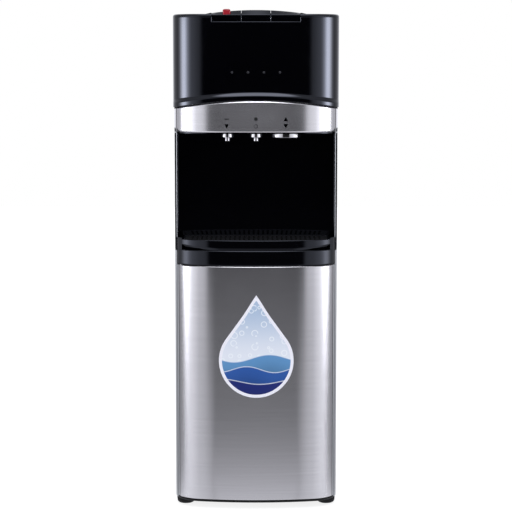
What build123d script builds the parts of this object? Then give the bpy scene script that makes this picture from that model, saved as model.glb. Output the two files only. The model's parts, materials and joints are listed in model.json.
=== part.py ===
from build123d import *
from math import atan2, cos, radians, sin, sqrt
import os

os.makedirs("parts", exist_ok=True)

# All sizes are in millimetres. X is the width, the front faces -Y and Z is up.

# Clearances
gap = 0.3
running_fit = 0.05
door_gap = 1.5

# Cabinet plan: a wide front arc, two round front corners, straight sides and a flat rear
body_width = 347.0
head_width = 352.0
front_y = -180.0
rear_y = 182.5
front_radius = 640.0
corner_radius = 60.0
head_setback = 5.5
lip_overhang = 2.5

# Walls
sheet = 1.2
shell_wall = 3.0
liner_wall = 2.5
plate = 2.0

# Heights of the stacked parts
foot_height = 14.0
base_thickness = 4.0
door_height = 504.0
trim_height = 32.0
tray_height = 22.0
cheek_height = 25.0
niche_height = 246.0
ceiling_thickness = 3.0
band_height = 67.0
band_arch_radius = 948.0
lip_height = 10.0
head_height = 179.0
cover_thickness = 6.0
cover_round = 5.0

# Setbacks behind the middle of the front
panel_start = 48.0
door_depth = 45.5
frame_start = 52.0
band_depth = 66.0
niche_depth = 116.0

# Feet
foot_inset = 21.5
foot_front_y = -108.0
foot_rear_y = 140.0
foot_top_radius = 17.0
foot_bottom_radius = 12.0
foot_stem_radius = 5.0
foot_round = 3.0

# Door, hinge and catch
door_skin_thickness = 1.0
hinge_inset = 14.5
hinge_setback = 40.5
hinge_pin_radius = 2.5
hinge_pin_reach = 10.0
hinge_block_width = 22.0
hinge_block_height = 20.0
catch_inset = 38.5
catch_width = 30.0
catch_height = 9.0
strike_thickness = 1.0

# Bottle bay
bay_wall = 2.0
bay_depth = 345.0
bay_flange = 15.0
probe_inset = 35.5
probe_y = 104.0
probe_radius = 6.0
probe_bore = 3.5
probe_length = 360.0
probe_cap_radius = 27.0
probe_cap_height = 24.0
probe_seat_z = 440.0
holder_thickness = 6.0
holder_width = 40.0
hose_radius = 5.0

# Drip tray
tray_inset = 16.5
tray_clearance = 0.6
tray_floor = 3.0
tray_wall = 5.0
tray_ledge = 5.0
tray_chamfer = 5.0
grille_thickness = 4.0
grille_slot_width = 4.0
grille_slot_pitch = 10.0
grille_border = 9.0

# Taps and ice chute in the niche ceiling
tap_setback = 60.0
hot_tap_x = -61.0
cold_tap_x = 0.0
chute_x = 64.0
tap_collar_radius = 13.8
tap_collar_height = 10.0
tap_tip_radius = 7.0
tap_tip_height = 7.5
tap_bore = 4.0
tap_stem_radius = 6.0
chute_half_width = 30.0
chute_half_depth = 23.0
chute_wall = 3.0
chute_height = 10.0
flap_thickness = 2.0
flap_clearance = 2.4
flap_pin_radius = 1.5
flap_pin_setback = 17.5
flap_pin_length = 30.0
flap_rise = 8.0
valve_width = 28.0
valve_depth = 40.0
valve_height = 36.0
coil_radius = 11.0
coil_length = 26.0

# Keys in the head's top front edge
key_pitch = 61.3
key_gap = 0.8
key_panel_width = 185.0
key_depth = 62.0
key_sill_drop = 16.0
key_skirt_drop = 26.0
key_front_drop = 2.0
key_bevel_depth = 12.0
key_bevel_rise = 11.0
key_crown_rise = 8.0
key_edge_rise = 2.0
key_wall = 2.5
key_roof = 4.0
key_recess = 3.6
shaft_radius = 2.0
shaft_inset = 6.0
shaft_drop = 10.0
lug_width = 6.0
lug_radius = 5.0
spring_outer_radius = 4.0
spring_length = 12.0
lock_width = 16.0
lock_depth = 11.0
lock_height = 13.0
lock_slide = 6.0
lock_round = 2.5
lock_setback = 4.0
lock_seat_drop = 3.0
tray_plate_drop = 34.0
bearing_width = 6.0
bearing_depth = 14.0
bezel_width = 208.0
bezel_height = 2.5
bezel_rear_rim = 8.0
switch_block_width = 20.0
switch_block_depth = 12.0
switch_block_height = 18.0
switch_block_setback = 30.0

# Indicator lights and their board
light_pitch = 33.2
light_count = 4
light_radius = 2.5
light_height = 931.0
light_proud = 0.4
board_setback = 14.0
board_width = 130.0
board_height = 50.0
board_thickness = 1.6
board_post_radius = 3.0
board_post_x = 58.0

# Machine space behind the niche
compressor_inset = 95.5
compressor_y = 76.0
compressor_radius = 68.0
compressor_height = 165.0
compressor_round = 24.0
compressor_plate_width = 160.0
compressor_plate_depth = 110.0
compressor_plate_thickness = 4.0
grommet_radius = 10.0
grommet_height = 14.0
grommet_inset = 12.0
start_box_width = 44.0
start_box_proud = 8.0
start_box_lift = 14.0
start_box_height = 50.0
condenser_inset = 81.5
condenser_z = 668.0
condenser_size = 136.0
condenser_depth = 24.0
condenser_fin_pitch = 6.8
condenser_fin_thickness = 2.4
condenser_tube_radius = 4.0
condenser_tube_rows = 5
shroud_depth = 22.0
shroud_wall = 2.0
fan_radius = 56.0
fan_hub_radius = 18.0
fan_hub_depth = 14.0
fan_blade_count = 5
fan_blade_thickness = 2.0
fan_blade_chord = 30.0
fan_blade_pitch = 25.0
fan_shaft_radius = 2.5
fan_motor_radius = 20.0
fan_motor_depth = 24.0
fan_strut_width = 8.0
hot_tank_inset = 75.5
hot_tank_y = 2.0
hot_tank_radius = 50.0
hot_tank_height = 180.0
hot_tank_round = 12.0
tank_leg_height = 36.0
tank_leg_radius = 5.0
pump_width = 50.0
pump_depth = 46.0
pump_height = 50.0
pump_round = 8.0
drier_inset = 13.5
drier_y = -40.0
drier_radius = 9.0
drier_height = 110.0
drier_neck_radius = 3.0
drier_neck = 12.0
feed_outlet_height = 28.0
feed_riser_gap = 20.0
feed_crossing_drop = 20.0
feed_bend = 12.0
tank_inlet_offset = 40.0

# Head space above the niche
cold_tank_inset = 88.0
cold_tank_y = 70.0
cold_tank_radius = 74.0
cold_tank_height = 176.0
cold_tank_round = 12.0
cold_tank_foot_radius = 60.0
cold_tank_foot_height = 6.0
bin_half_width = 46.0
bin_front_y = -150.0
bin_rear_y = 140.0
bin_height = 115.0
auger_height = 32.0
auger_shaft_radius = 4.0
auger_radius = 24.0
paddle_count = 10
paddle_thickness = 3.0
paddle_width = 8.0
paddle_turn = 72.0
auger_motor_radius = 22.0
auger_motor_depth = 32.0
evaporator_drop = 46.0
evaporator_thickness = 6.0
evaporator_width = 80.0
evaporator_depth = 80.0
evaporator_front_y = 36.0
finger_radius = 5.0
finger_length = 34.0
finger_pitch = 24.0
finger_count = 3
stud_radius = 4.0
ice_tray_wall = 1.5
ice_tray_height = 30.0
ice_tray_clearance = 6.0
ice_tray_margin = 1.5
ice_tray_front_y = 30.0
ice_tray_rear_y = 118.0
pivot_y = 126.0
pivot_radius = 3.0
pivot_lug = 6.0
ear_depth = 14.0

# Rear fittings
screw_head_height = 1.3
screw_head_radius = 4.0
screw_radius = 1.6
screw_length = 9.0
screw_inset = 11.5
screw_rows_z = (60.0, 300.0, 560.0, 780.0, 1020.0)
louvre_width = 44.0
louvre_height = 5.0
louvre_pitch = 12.0
louvre_column_pitch = 52.0
louvre_rows = 11
louvre_columns = 3
inlet_inset = 53.5
inlet_z = 90.0
inlet_width = 28.0
inlet_height = 20.0
inlet_depth = 12.0
inlet_flange = 6.0
inlet_flange_thickness = 2.0
inlet_wall = 2.5
inlet_pin_width = 2.0
inlet_pin_height = 5.0
inlet_pin_pitch = 7.0
switch_inset = 43.5
switch_pitch = 34.0
switch_z = 960.0
switch_width = 14.0
switch_height = 24.0
switch_depth = 22.0
switch_wall = 2.0
rocker_thickness = 6.0
rocker_setback = 8.0
rocker_pin_radius = 1.5
rocker_tilt = 8.0
drain_inset = 113.5
drain_z = 560.0
drain_radius = 7.0
drain_bore = 4.0
drain_length = 30.0
drain_flange_radius = 16.0
drain_flange_thickness = 3.0
cap_radius = 11.0
cap_depth = 12.0
cap_wall = 2.0

# Places worked out from the sizes above
half_body = body_width / 2
half_head = head_width / 2
panel_inset = sheet + gap
base_top = foot_height + base_thickness
door_bottom = base_top + door_gap
door_top = door_bottom + door_height
trim_bottom = door_top + door_gap
shelf_top = trim_bottom + trim_height
tray_top = shelf_top + tray_height
cheek_top = shelf_top + cheek_height
ceiling_bottom = shelf_top + niche_height
band_bottom = ceiling_bottom + ceiling_thickness
band_crown = band_bottom + band_height
head_top = band_crown + head_height
cover_bottom = head_top - cover_thickness
cover_under = head_top - shell_wall
deck_top = trim_bottom + plate
head_front_y = front_y + head_setback
lip_front_y = front_y - lip_overhang
door_rear_y = front_y + door_depth
frame_y = front_y + frame_start
niche_rear_y = front_y + niche_depth
tap_y = front_y + tap_setback
hinge_y = front_y + hinge_setback
half_tray = half_body - tray_inset
bay_rear_y = front_y + bay_depth
rear_skin_y = rear_y - screw_head_height
rear_inner_y = rear_skin_y - sheet
inner_half = half_body - panel_inset
half_keys = key_panel_width / 2
key_front_y = head_front_y + key_recess
key_rear_y = key_front_y + key_depth
key_sill = head_top - key_sill_drop
key_skirt = head_top - key_skirt_drop
shaft_y = key_rear_y - shaft_inset
shaft_z = head_top - shaft_drop
key_tray_z = head_top - tray_plate_drop
lock_seat = head_top - lock_seat_drop
bin_floor = band_bottom + liner_wall
auger_z = band_bottom + auger_height
evaporator_z = cover_under - evaporator_drop
finger_tip = evaporator_z - finger_length
ice_tray_bottom = finger_tip - ice_tray_clearance - ice_tray_wall
pivot_z = ice_tray_bottom + ice_tray_height / 2
condenser_y = rear_inner_y - gap - condenser_depth
shroud_y = condenser_y - shroud_depth
fan_y = shroud_y + shroud_depth / 2
foot_x = half_body - foot_inset
hinge_x = hinge_inset - half_body
catch_x = half_body - catch_inset
probe_x = half_body - probe_inset
compressor_x = compressor_inset - half_body
condenser_x = half_body - condenser_inset
hot_tank_x = half_body - hot_tank_inset
drier_x = drier_inset - half_body
feed_riser_x = compressor_x + compressor_radius + feed_riser_gap
cold_tank_x = cold_tank_inset - half_head
screw_columns_x = half_body - screw_inset
inlet_x = inlet_inset - half_body
switch_x = half_body - switch_inset
drain_x = half_body - drain_inset
pump_x = probe_x
pump_y = probe_y
far = 2 * (body_width + head_top)


def plan(half_width, front, rear, inset):
    """Bow-fronted plan of the cabinet, moved inwards by inset all along its front and sides."""
    width = half_width - inset
    nose = front + inset
    wide = front_radius - inset
    tight = corner_radius - inset
    corner_x = width - tight
    corner_y = nose + wide - sqrt((wide - tight) ** 2 - corner_x**2)
    stretch = wide / (wide - tight)
    meet_x = corner_x * stretch
    meet_y = nose + wide + (corner_y - nose - wide) * stretch
    half_turn = atan2(meet_y - corner_y, meet_x - corner_x) / 2
    mid_x = corner_x + tight * cos(half_turn)
    mid_y = corner_y + tight * sin(half_turn)
    edges = [
        ThreePointArc((-meet_x, meet_y), (0, nose), (meet_x, meet_y)),
        ThreePointArc((meet_x, meet_y), (mid_x, mid_y), (width, corner_y)),
        Line((width, corner_y), (width, rear)),
        Line((width, rear), (-width, rear)),
        Line((-width, rear), (-width, corner_y)),
        ThreePointArc((-width, corner_y), (-mid_x, mid_y), (-meet_x, meet_y)),
    ]
    return Face(Wire(edges))


def body_plan(inset=0.0, rear=rear_y):
    """Plan of the cabinet body."""
    return plan(half_body, front_y, rear, inset)


def head_plan(inset=0.0, rear=rear_y):
    """Plan of the head, set back a little at the front."""
    return plan(half_head, head_front_y, rear, inset)


def slab(face, low, high):
    """Upright solid of one plan between two heights."""
    return extrude(Pos(0, 0, low) * face, amount=high - low, dir=(0, 0, 1))


def block(x0, x1, y0, y1, z0, z1):
    """Box between two corners."""
    centre = Pos((x0 + x1) / 2, (y0 + y1) / 2, (z0 + z1) / 2)
    return centre * Box(x1 - x0, y1 - y0, z1 - z0)


def post(x, y, z0, z1, radius):
    """Upright round bar."""
    return Pos(x, y, (z0 + z1) / 2) * Cylinder(radius, z1 - z0)


def bar_x(x0, x1, y, z, radius):
    """Round bar along X."""
    return Pos((x0 + x1) / 2, y, z) * Rot(0, 90, 0) * Cylinder(radius, x1 - x0)


def bar_y(y0, y1, x, z, radius):
    """Round bar along Y."""
    return Pos(x, (y0 + y1) / 2, z) * Rot(90, 0, 0) * Cylinder(radius, y1 - y0)


def oval(x, y, half_width, half_depth, z0, z1):
    """Upright bar of oval section."""
    return slab(Pos(x, y, 0) * Ellipse(half_width, half_depth).face(), z0, z1)


def before(y):
    """Everything in front of a plane across the cabinet."""
    return block(-far, far, -far, y, -far, far)


def behind(y):
    """Everything behind a plane across the cabinet."""
    return block(-far, far, y, far, -far, far)


def arch_z(x):
    """Height of the band's arched top edge."""
    return band_crown - band_arch_radius + sqrt(band_arch_radius**2 - x**2)


def under_arch(raised):
    """Everything under the band's arch, raised by a clearance or a lip."""
    radius = band_arch_radius + raised
    return bar_y(-far, far, 0, band_crown - band_arch_radius, radius)


def group(shapes):
    """Several loose solids kept in one node."""
    return Compound(children=[solid for shape in shapes for solid in shape.solids()])


def foot_places():
    """Where the four feet stand."""
    return [(side * foot_x, y) for side in (-1, 1) for y in (foot_front_y, foot_rear_y)]


def base_pan():
    """Flat base under the cabinet, with sockets for the feet and the lower hinge pin."""
    pan = slab(body_plan(panel_inset, rear_inner_y - gap), foot_height, base_top)
    for x, y in foot_places():
        pan -= post(x, y, foot_height, base_top, foot_stem_radius + running_fit)
    pan -= post(hinge_x, hinge_y, foot_height, base_top, hinge_pin_radius + running_fit)
    return pan


def base_feet():
    """Four tapered feet with stems that plug into the base."""
    feet = []
    for x, y in foot_places():
        foot = Pos(x, y, foot_height / 2) * Cone(foot_bottom_radius, foot_top_radius, foot_height)
        foot = fillet(foot.edges().group_by(Axis.Z)[0], foot_round)
        feet.append(foot + post(x, y, foot_height, base_top, foot_stem_radius))
    return group(feet)


def side_panel(side):
    """Folded sheet down one side, wrapped round the front corner and cut back for the band."""
    low = foot_height + base_thickness / 2
    high = arch_z(half_body) - gap
    panel = slab(body_plan(), low, high) - slab(body_plan(sheet, rear_y + far), low, high)
    panel = panel & behind(front_y + panel_start)
    panel = panel & block(min(0, side * far), max(0, side * far), -far, far, low, high)
    return panel - block(-far, far, -far, front_y + band_depth + gap, band_bottom - gap, far)


def louvre_places():
    """Middles of the louvre slots over the condenser."""
    places = []
    for column in range(louvre_columns):
        for row in range(louvre_rows):
            x = condenser_x + (column - (louvre_columns - 1) / 2) * louvre_column_pitch
            z = condenser_z + (row - (louvre_rows - 1) / 2) * louvre_pitch
            places.append((x, z))
    return places


def screw_places():
    """Where the rear panel is screwed on."""
    return [(side * screw_columns_x, z) for side in (-1, 1) for z in screw_rows_z]


def switch_places():
    """Middles of the two rear switches, hot and cold."""
    return [switch_x - switch_pitch, switch_x]


def rear_panel():
    """Flat rear sheet with louvres and holes for the inlet, the switches and the drain."""
    panel = block(-inner_half, inner_half, rear_inner_y, rear_skin_y, base_top + gap, cover_bottom - gap)
    for x, z in louvre_places():
        panel -= opening_y(x, z, louvre_width, louvre_height)
    for x, z in screw_places():
        panel -= bar_y(rear_inner_y, rear_skin_y, x, z, screw_radius + running_fit)
    for x in switch_places():
        panel -= opening_y(x, switch_z, switch_width + 2 * gap, switch_height + 2 * gap)
    panel -= opening_y(inlet_x, inlet_z, inlet_width + 2 * gap, inlet_height + 2 * gap)
    return panel - bar_y(rear_inner_y, rear_skin_y, drain_x, drain_z, cap_radius + 2 * gap)


def opening_y(x, z, width, height):
    """Box that cuts an opening through the rear sheet."""
    return block(x - width / 2, x + width / 2, rear_inner_y, rear_skin_y, z - height / 2, z + height / 2)


def rear_panel_screws():
    """Pan-head screws of the rear panel."""
    screws = []
    for x, z in screw_places():
        head = bar_y(rear_skin_y, rear_skin_y + screw_head_height, x, z, screw_head_radius)
        screws.append(head + bar_y(rear_skin_y - screw_length, rear_skin_y, x, z, screw_radius))
    return group(screws)


def power_inlet():
    """Mains inlet socket with three pins, flanged inside the rear panel."""
    low_x = inlet_x - inlet_width / 2
    high_x = inlet_x + inlet_width / 2
    low_z = inlet_z - inlet_height / 2
    high_z = inlet_z + inlet_height / 2
    back = rear_skin_y - inlet_depth
    socket = block(low_x, high_x, back, rear_skin_y, low_z, high_z)
    socket -= block(low_x + inlet_wall, high_x - inlet_wall, back + inlet_wall, rear_skin_y,
                    low_z + inlet_wall, high_z - inlet_wall)
    socket += block(low_x - inlet_flange, high_x + inlet_flange, rear_inner_y - inlet_flange_thickness,
                    rear_inner_y, low_z - inlet_flange, high_z + inlet_flange) - block(
                    low_x, high_x, back, rear_skin_y, low_z, high_z)
    for step in (-1, 0, 1):
        x = inlet_x + step * inlet_pin_pitch
        socket += block(x - inlet_pin_width / 2, x + inlet_pin_width / 2, back, rear_skin_y - inlet_wall,
                        inlet_z - inlet_pin_height / 2, inlet_z + inlet_pin_height / 2)
    return socket


def switch_housings():
    """Open boxes behind the rear panel that hold the rocker switches."""
    housings = []
    for x in switch_places():
        half = switch_width / 2
        tall = switch_height / 2
        back = rear_skin_y - switch_depth
        box = block(x - half, x + half, back, rear_skin_y, switch_z - tall, switch_z + tall)
        box -= block(x - half + switch_wall, x + half - switch_wall, back + switch_wall, rear_skin_y,
                     switch_z - tall + switch_wall, switch_z + tall - switch_wall)
        pin_y = rear_skin_y - rocker_setback
        box -= bar_x(x - half, x + half, pin_y, switch_z, rocker_pin_radius + running_fit)
        rim = block(x - half - switch_wall, x + half + switch_wall, rear_inner_y - switch_wall, rear_inner_y,
                    switch_z - tall - switch_wall, switch_z + tall + switch_wall)
        rim -= block(x - half, x + half, back, rear_skin_y, switch_z - tall, switch_z + tall)
        housings.append(box + rim)
    return group(housings)


def switch_rocker(x):
    """Rocker of one rear switch on its cross pin, tilted to its off side."""
    half = switch_width / 2 - switch_wall - gap
    tall = switch_height / 2 - switch_wall - 2 * gap
    pin_y = rear_skin_y - rocker_setback
    rocker = Pos(x, pin_y, switch_z) * Rot(-rocker_tilt, 0, 0) * Box(2 * half, rocker_thickness, 2 * tall)
    return rocker + bar_x(x - switch_width / 2, x + switch_width / 2, pin_y, switch_z, rocker_pin_radius)


def drain_spigot():
    """Drain pipe stub on a flange inside the rear panel."""
    start = rear_inner_y - drain_length
    end = rear_skin_y - cap_wall - gap
    pipe = bar_y(start, end, drain_x, drain_z, drain_radius)
    foot = block(drain_x - drain_flange_radius, drain_x + drain_flange_radius, start,
                 start + drain_flange_thickness, deck_top, drain_z + drain_flange_radius)
    return pipe + foot - bar_y(start, end, drain_x, drain_z, drain_bore)


def drain_cap():
    """Push-on cup over the drain stub."""
    cup = bar_y(rear_skin_y - cap_depth, rear_skin_y, drain_x, drain_z, cap_radius)
    socket_end = rear_skin_y - cap_wall
    return cup - bar_y(rear_skin_y - cap_depth, socket_end, drain_x, drain_z, drain_radius + running_fit)


def bottle_bay():
    """Open-fronted box for the bottle, with a flange round its mouth."""
    floor = base_top + bay_wall
    roof = trim_bottom - bay_wall
    bay = slab(body_plan(panel_inset, bay_rear_y), base_top, trim_bottom) & behind(frame_y)
    hollow = slab(body_plan(panel_inset + bay_wall, bay_rear_y - bay_wall), floor, roof)
    bay -= hollow & behind(frame_y + bay_wall)
    mouth = inner_half - bay_flange
    bay -= block(-mouth, mouth, frame_y, frame_y + bay_wall, base_top + bay_flange, trim_bottom - bay_flange)
    return bay - post(probe_x, probe_y, roof, trim_bottom, hose_radius + gap)


def probe_holder():
    """Moulded shelf on the bay's rear wall that the bottle probe hangs in."""
    low_x = probe_x - holder_width / 2
    high_x = probe_x + holder_width / 2
    rear = bay_rear_y - bay_wall
    front = probe_y - holder_width / 2
    shelf = block(low_x, high_x, front, rear, probe_seat_z - holder_thickness, probe_seat_z)
    shelf += block(low_x, high_x, rear - holder_thickness, rear, probe_seat_z - holder_width, probe_seat_z)
    return shelf - post(probe_x, probe_y, probe_seat_z - holder_thickness, probe_seat_z, probe_radius + gap)


def bottle_probe():
    """Suction tube with a bottle cap at its top, hung in the holder."""
    tube = post(probe_x, probe_y, probe_seat_z - probe_length, probe_seat_z, probe_radius)
    cap = post(probe_x, probe_y, probe_seat_z, probe_seat_z + probe_cap_height, probe_cap_radius)
    return tube + cap - post(probe_x, probe_y, probe_seat_z - probe_length, probe_seat_z, probe_bore)


def deck_plate():
    """Steel deck over the bottle bay that carries the machine parts."""
    deck = slab(body_plan(panel_inset, rear_inner_y - gap), trim_bottom, deck_top) & behind(frame_y)
    return deck - post(probe_x, probe_y, trim_bottom, deck_top, hose_radius + gap)


def lower_trim():
    """Black channel over the door with a shelf for the tray and a raised cheek at each end."""
    rear = front_y + panel_start - gap
    trim = slab(body_plan(), trim_bottom, shelf_top) & before(rear)
    trim -= slab(body_plan(shell_wall), trim_bottom + shell_wall, shelf_top - shell_wall)
    shelf = slab(body_plan(panel_inset, niche_rear_y - gap), shelf_top - shell_wall, shelf_top)
    trim += shelf & behind(rear)
    cheeks = slab(body_plan(), shelf_top, cheek_top) & before(rear)
    reach = half_tray + tray_clearance
    cheeks -= block(-reach, reach, -far, far, shelf_top, cheek_top)
    return trim + cheeks - post(hinge_x, hinge_y, trim_bottom, trim_bottom + shell_wall,
                                hinge_pin_radius + running_fit)


def drip_tray():
    """Pull-out tray with a bowed front, a basin and a ledge for its grille."""
    low = shelf_top
    rear = niche_rear_y - tray_clearance
    tray = slab(body_plan(), low, tray_top) & block(-half_tray, half_tray, -far, rear, low, tray_top)
    front_edges = tray.edges().group_by(Axis.Z)[0].sort_by(Axis.Y)[:-1]
    front_edges = [edge for edge in front_edges if edge.geom_type == GeomType.CIRCLE]
    tray = chamfer(front_edges, tray_chamfer)
    seat = tray_top - grille_thickness - gap
    tray -= tray_pocket(tray_wall, seat, tray_top)
    return tray - tray_pocket(tray_wall + tray_ledge, low + tray_floor, seat)


def tray_pocket(wall, low, high):
    """Hollow inside the tray, a wall's width in from its outline."""
    rear = niche_rear_y - tray_clearance - wall
    side = half_tray - wall
    return slab(body_plan(wall), low, high) & block(-side, side, -far, rear, low, high)


def drip_grille():
    """Slotted plate that lifts out of the tray."""
    low = tray_top - grille_thickness - gap
    high = tray_top - gap
    grille = tray_pocket(tray_wall + gap, low, high)
    side = half_tray - tray_wall - grille_border
    front = front_y + tray_wall + grille_border
    rear = niche_rear_y - tray_clearance - tray_wall - grille_border
    count = int(2 * side / grille_slot_pitch)
    middle = (front + rear) / 2
    hollow = slab(body_plan(tray_wall + grille_border), low, high)
    for step in range(count):
        x = (step - (count - 1) / 2) * grille_slot_pitch
        half = grille_slot_width / 2
        for start, end in ((front, middle - half), (middle + half, rear)):
            grille -= block(x - half, x + half, start, end, low, high) & hollow
    return grille


def niche_liner():
    """Black alcove: two bowed cheeks, a rear wall and a ceiling with holes for the taps and the chute."""
    start = front_y + panel_start
    outer = slab(body_plan(panel_inset, niche_rear_y + liner_wall), shelf_top, ceiling_bottom)
    hollow = slab(body_plan(panel_inset + liner_wall, niche_rear_y), shelf_top, ceiling_bottom)
    liner = (outer - hollow) & behind(start)
    ceiling = slab(body_plan(panel_inset, niche_rear_y + liner_wall), ceiling_bottom, band_bottom)
    liner += ceiling
    for x in (hot_tap_x, cold_tap_x):
        liner -= post(x, tap_y, ceiling_bottom, band_bottom, tap_stem_radius + running_fit)
    return liner - chute_hole(ceiling_bottom, band_bottom)


def chute_hole(low, high):
    """Oval passage for ice."""
    return oval(chute_x, tap_y, chute_half_width - chute_wall, chute_half_depth - chute_wall, low, high)


def tap_nozzles():
    """The hot and the cold tap."""
    return group([nozzle(x) for x in (hot_tap_x, cold_tap_x)])


def nozzle(x):
    """Stepped chrome tap with a bore and a stem through the ceiling."""
    collar_low = ceiling_bottom - tap_collar_height
    tip_low = collar_low - tap_tip_height
    tap = post(x, tap_y, collar_low, ceiling_bottom, tap_collar_radius)
    tap += post(x, tap_y, tip_low, collar_low, tap_tip_radius)
    tap += post(x, tap_y, ceiling_bottom, band_bottom, tap_stem_radius)
    return tap - post(x, tap_y, tip_low, band_bottom, tap_bore)


def ice_chute_ring():
    """Oval chrome ring round the ice outlet, drilled for the flap's pin."""
    low = ceiling_bottom - chute_height
    ring = oval(chute_x, tap_y, chute_half_width, chute_half_depth, low, ceiling_bottom)
    ring -= chute_hole(low, ceiling_bottom)
    return ring - flap_pin(running_fit)


def flap_pin(clearance):
    """Pin across the rear of the chute."""
    half = flap_pin_length / 2 + clearance
    z = ceiling_bottom - flap_rise
    return bar_x(chute_x - half, chute_x + half, tap_y + flap_pin_setback, z, flap_pin_radius + clearance)


def ice_flap():
    """Oval flap that closes the chute."""
    low = ceiling_bottom - flap_rise - flap_thickness / 2
    wide = chute_half_width - chute_wall - flap_clearance
    deep = chute_half_depth - chute_wall - flap_clearance
    return oval(chute_x, tap_y, wide, deep, low, low + flap_thickness) + flap_pin(0)


def solenoid_valves():
    """Valve blocks with coils over the two taps."""
    valves = []
    for x in (hot_tap_x, cold_tap_x):
        low = tap_y - valve_depth / 2
        body = block(x - valve_width / 2, x + valve_width / 2, low, low + valve_depth, band_bottom,
                     band_bottom + valve_height)
        body += bar_y(low + valve_depth, low + valve_depth + coil_length, x, band_bottom + valve_height / 2,
                      coil_radius)
        valves.append(body)
    return group(valves)


def trim_band():
    """Arched silver band round the front, between the niche and the head."""
    band = slab(body_plan(), band_bottom, band_crown) & under_arch(0)
    band -= slab(body_plan(shell_wall, rear_y + far), band_bottom, band_crown)
    return band & before(front_y + band_depth)


def head_shell():
    """Black head walls with an arched lower edge and a lip that stands out over the band."""
    low = arch_z(half_head)
    inside = slab(head_plan(shell_wall, rear_y + far), low, cover_bottom)
    walls = slab(head_plan(), low, cover_bottom) - inside
    lip_outline = plan(half_head, lip_front_y, rear_y, 0)
    lip = slab(lip_outline, low, band_crown + lip_height) & under_arch(lip_height)
    lip -= slab(head_plan(shell_wall, rear_y + far), low, band_crown + lip_height)
    walls += lip & before(front_y + band_depth)
    walls -= under_arch(gap)
    walls -= block(-half_keys, half_keys, -far, key_rear_y, key_sill, head_top)
    for x in light_places():
        walls -= bar_y(-far, board_front(), x, light_height, light_radius + running_fit)
    for side in (-1, 1):
        boss = bar_y(head_front_y, board_front(), side * board_post_x, light_height, board_post_radius)
        walls += boss & slab(head_plan(shell_wall / 2), low, cover_bottom)
    return walls


def light_places():
    """Where the indicator lights sit across the head."""
    return [(step - (light_count - 1) / 2) * light_pitch for step in range(light_count)]


def board_front():
    """Front face of the control board."""
    return head_front_y + board_setback


def indicator_lenses():
    """Round light pipes from the board to the face of the head."""
    skin = slab(head_plan(-light_proud), band_crown, cover_bottom)
    return group([bar_y(head_front_y - light_proud, board_front(), x, light_height, light_radius) & skin
                  for x in light_places()])


def control_board():
    """Circuit board behind the lights."""
    half = board_width / 2
    tall = board_height / 2
    return block(-half, half, board_front(), board_front() + board_thickness, light_height - tall,
                 light_height + tall)


def top_cover():
    """Lid of the head with a rounded edge, open at the front for the keys."""
    cover = slab(head_plan(), cover_bottom, head_top)
    cover = fillet(cover.edges().group_by(Axis.Z)[-1], cover_round)
    rim = shell_wall + cover_round
    inside = slab(head_plan(rim, rear_y - rim), cover_bottom, cover_under)
    return cover - inside - block(-half_keys, half_keys, -far, key_rear_y + gap, cover_bottom, head_top)


def key_bezel():
    """Raised rim round the sides and rear of the keys."""
    half = bezel_width / 2
    rear = key_rear_y + gap + bezel_rear_rim
    rim = block(-half, half, -far, rear, head_top, head_top + bezel_height)
    rim = rim & slab(head_plan(cover_round + gap), head_top, head_top + bezel_height)
    rim = chamfer(rim.edges().group_by(Axis.Z)[-1].filter_by(Axis.Y), bezel_height - gap)
    return rim - block(-half_keys, half_keys, -far, key_rear_y + gap, head_top, head_top + bezel_height)


def under_key_crown():
    """Everything under the shallow dome over the keys."""
    rise = key_crown_rise - key_edge_rise
    radius = (half_keys**2 + rise**2) / (2 * rise)
    return bar_y(-far, far, 0, head_top + key_crown_rise - radius, radius)


def key(index):
    """One push key: domed roof, bevelled front, skirt and two lugs on the shaft."""
    centre = index * key_pitch
    half = (key_pitch - key_gap) / 2
    high = head_top + key_crown_rise
    outline = slab(head_plan(key_recess), key_skirt, high)
    body = outline & block(centre - half, centre + half, -far, key_rear_y, key_skirt, high)
    body = body & under_key_crown()
    hollow = slab(head_plan(key_recess + key_wall), key_skirt, head_top - key_roof)
    body -= hollow & block(centre - half + key_wall, centre + half - key_wall, -far, key_rear_y, key_skirt,
                           head_top - key_roof)
    body -= key_bevel()
    lug_low = shaft_z - lug_radius
    body -= block(centre - half, centre + half, shaft_y - lug_radius, key_rear_y, key_skirt, lug_low)
    for side in (-1, 1):
        inner = centre + side * (half - lug_width)
        outer = centre + side * half
        body += block(min(inner, outer), max(inner, outer), shaft_y - lug_radius, key_rear_y,
                      lug_low, head_top - key_roof)
    body -= bar_x(centre - half, centre + half, shaft_y, shaft_z, shaft_radius + running_fit)
    if index < 0:
        body -= lock_pocket()
    return body


def key_bevel():
    """Wedge that slopes the keys' front edge back to the dome."""
    low = head_top - key_front_drop
    run = key_bevel_rise / key_bevel_depth
    front_low = low - run * (far + key_front_y)
    rear_high = low + run * (far - key_front_y)
    corners = [(-far, front_low), (far, rear_high), (-far, far + low)]
    wedge = Face(Wire(Polyline(*corners, close=True).edges()))
    return extrude(Plane.YZ.offset(-far) * wedge, amount=2 * far)


def lock_front():
    """Front of the child lock at rest."""
    return key_front_y + lock_setback


def lock_pocket():
    """Flat-bottomed slot in the hot key that the lock slides in."""
    half = lock_width / 2 + gap
    front = lock_front() - gap
    rear = front + lock_depth + lock_slide + 2 * gap
    return block(-key_pitch - half, -key_pitch + half, front, rear, lock_seat, head_top + key_crown_rise)


def child_lock():
    """Sliding lock on the hot key."""
    half = lock_width / 2
    lock = block(-key_pitch - half, -key_pitch + half, lock_front(), lock_front() + lock_depth, lock_seat,
                 lock_seat + lock_height)
    return fillet(lock.edges().group_by(Axis.Z)[-1], lock_round)


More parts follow.
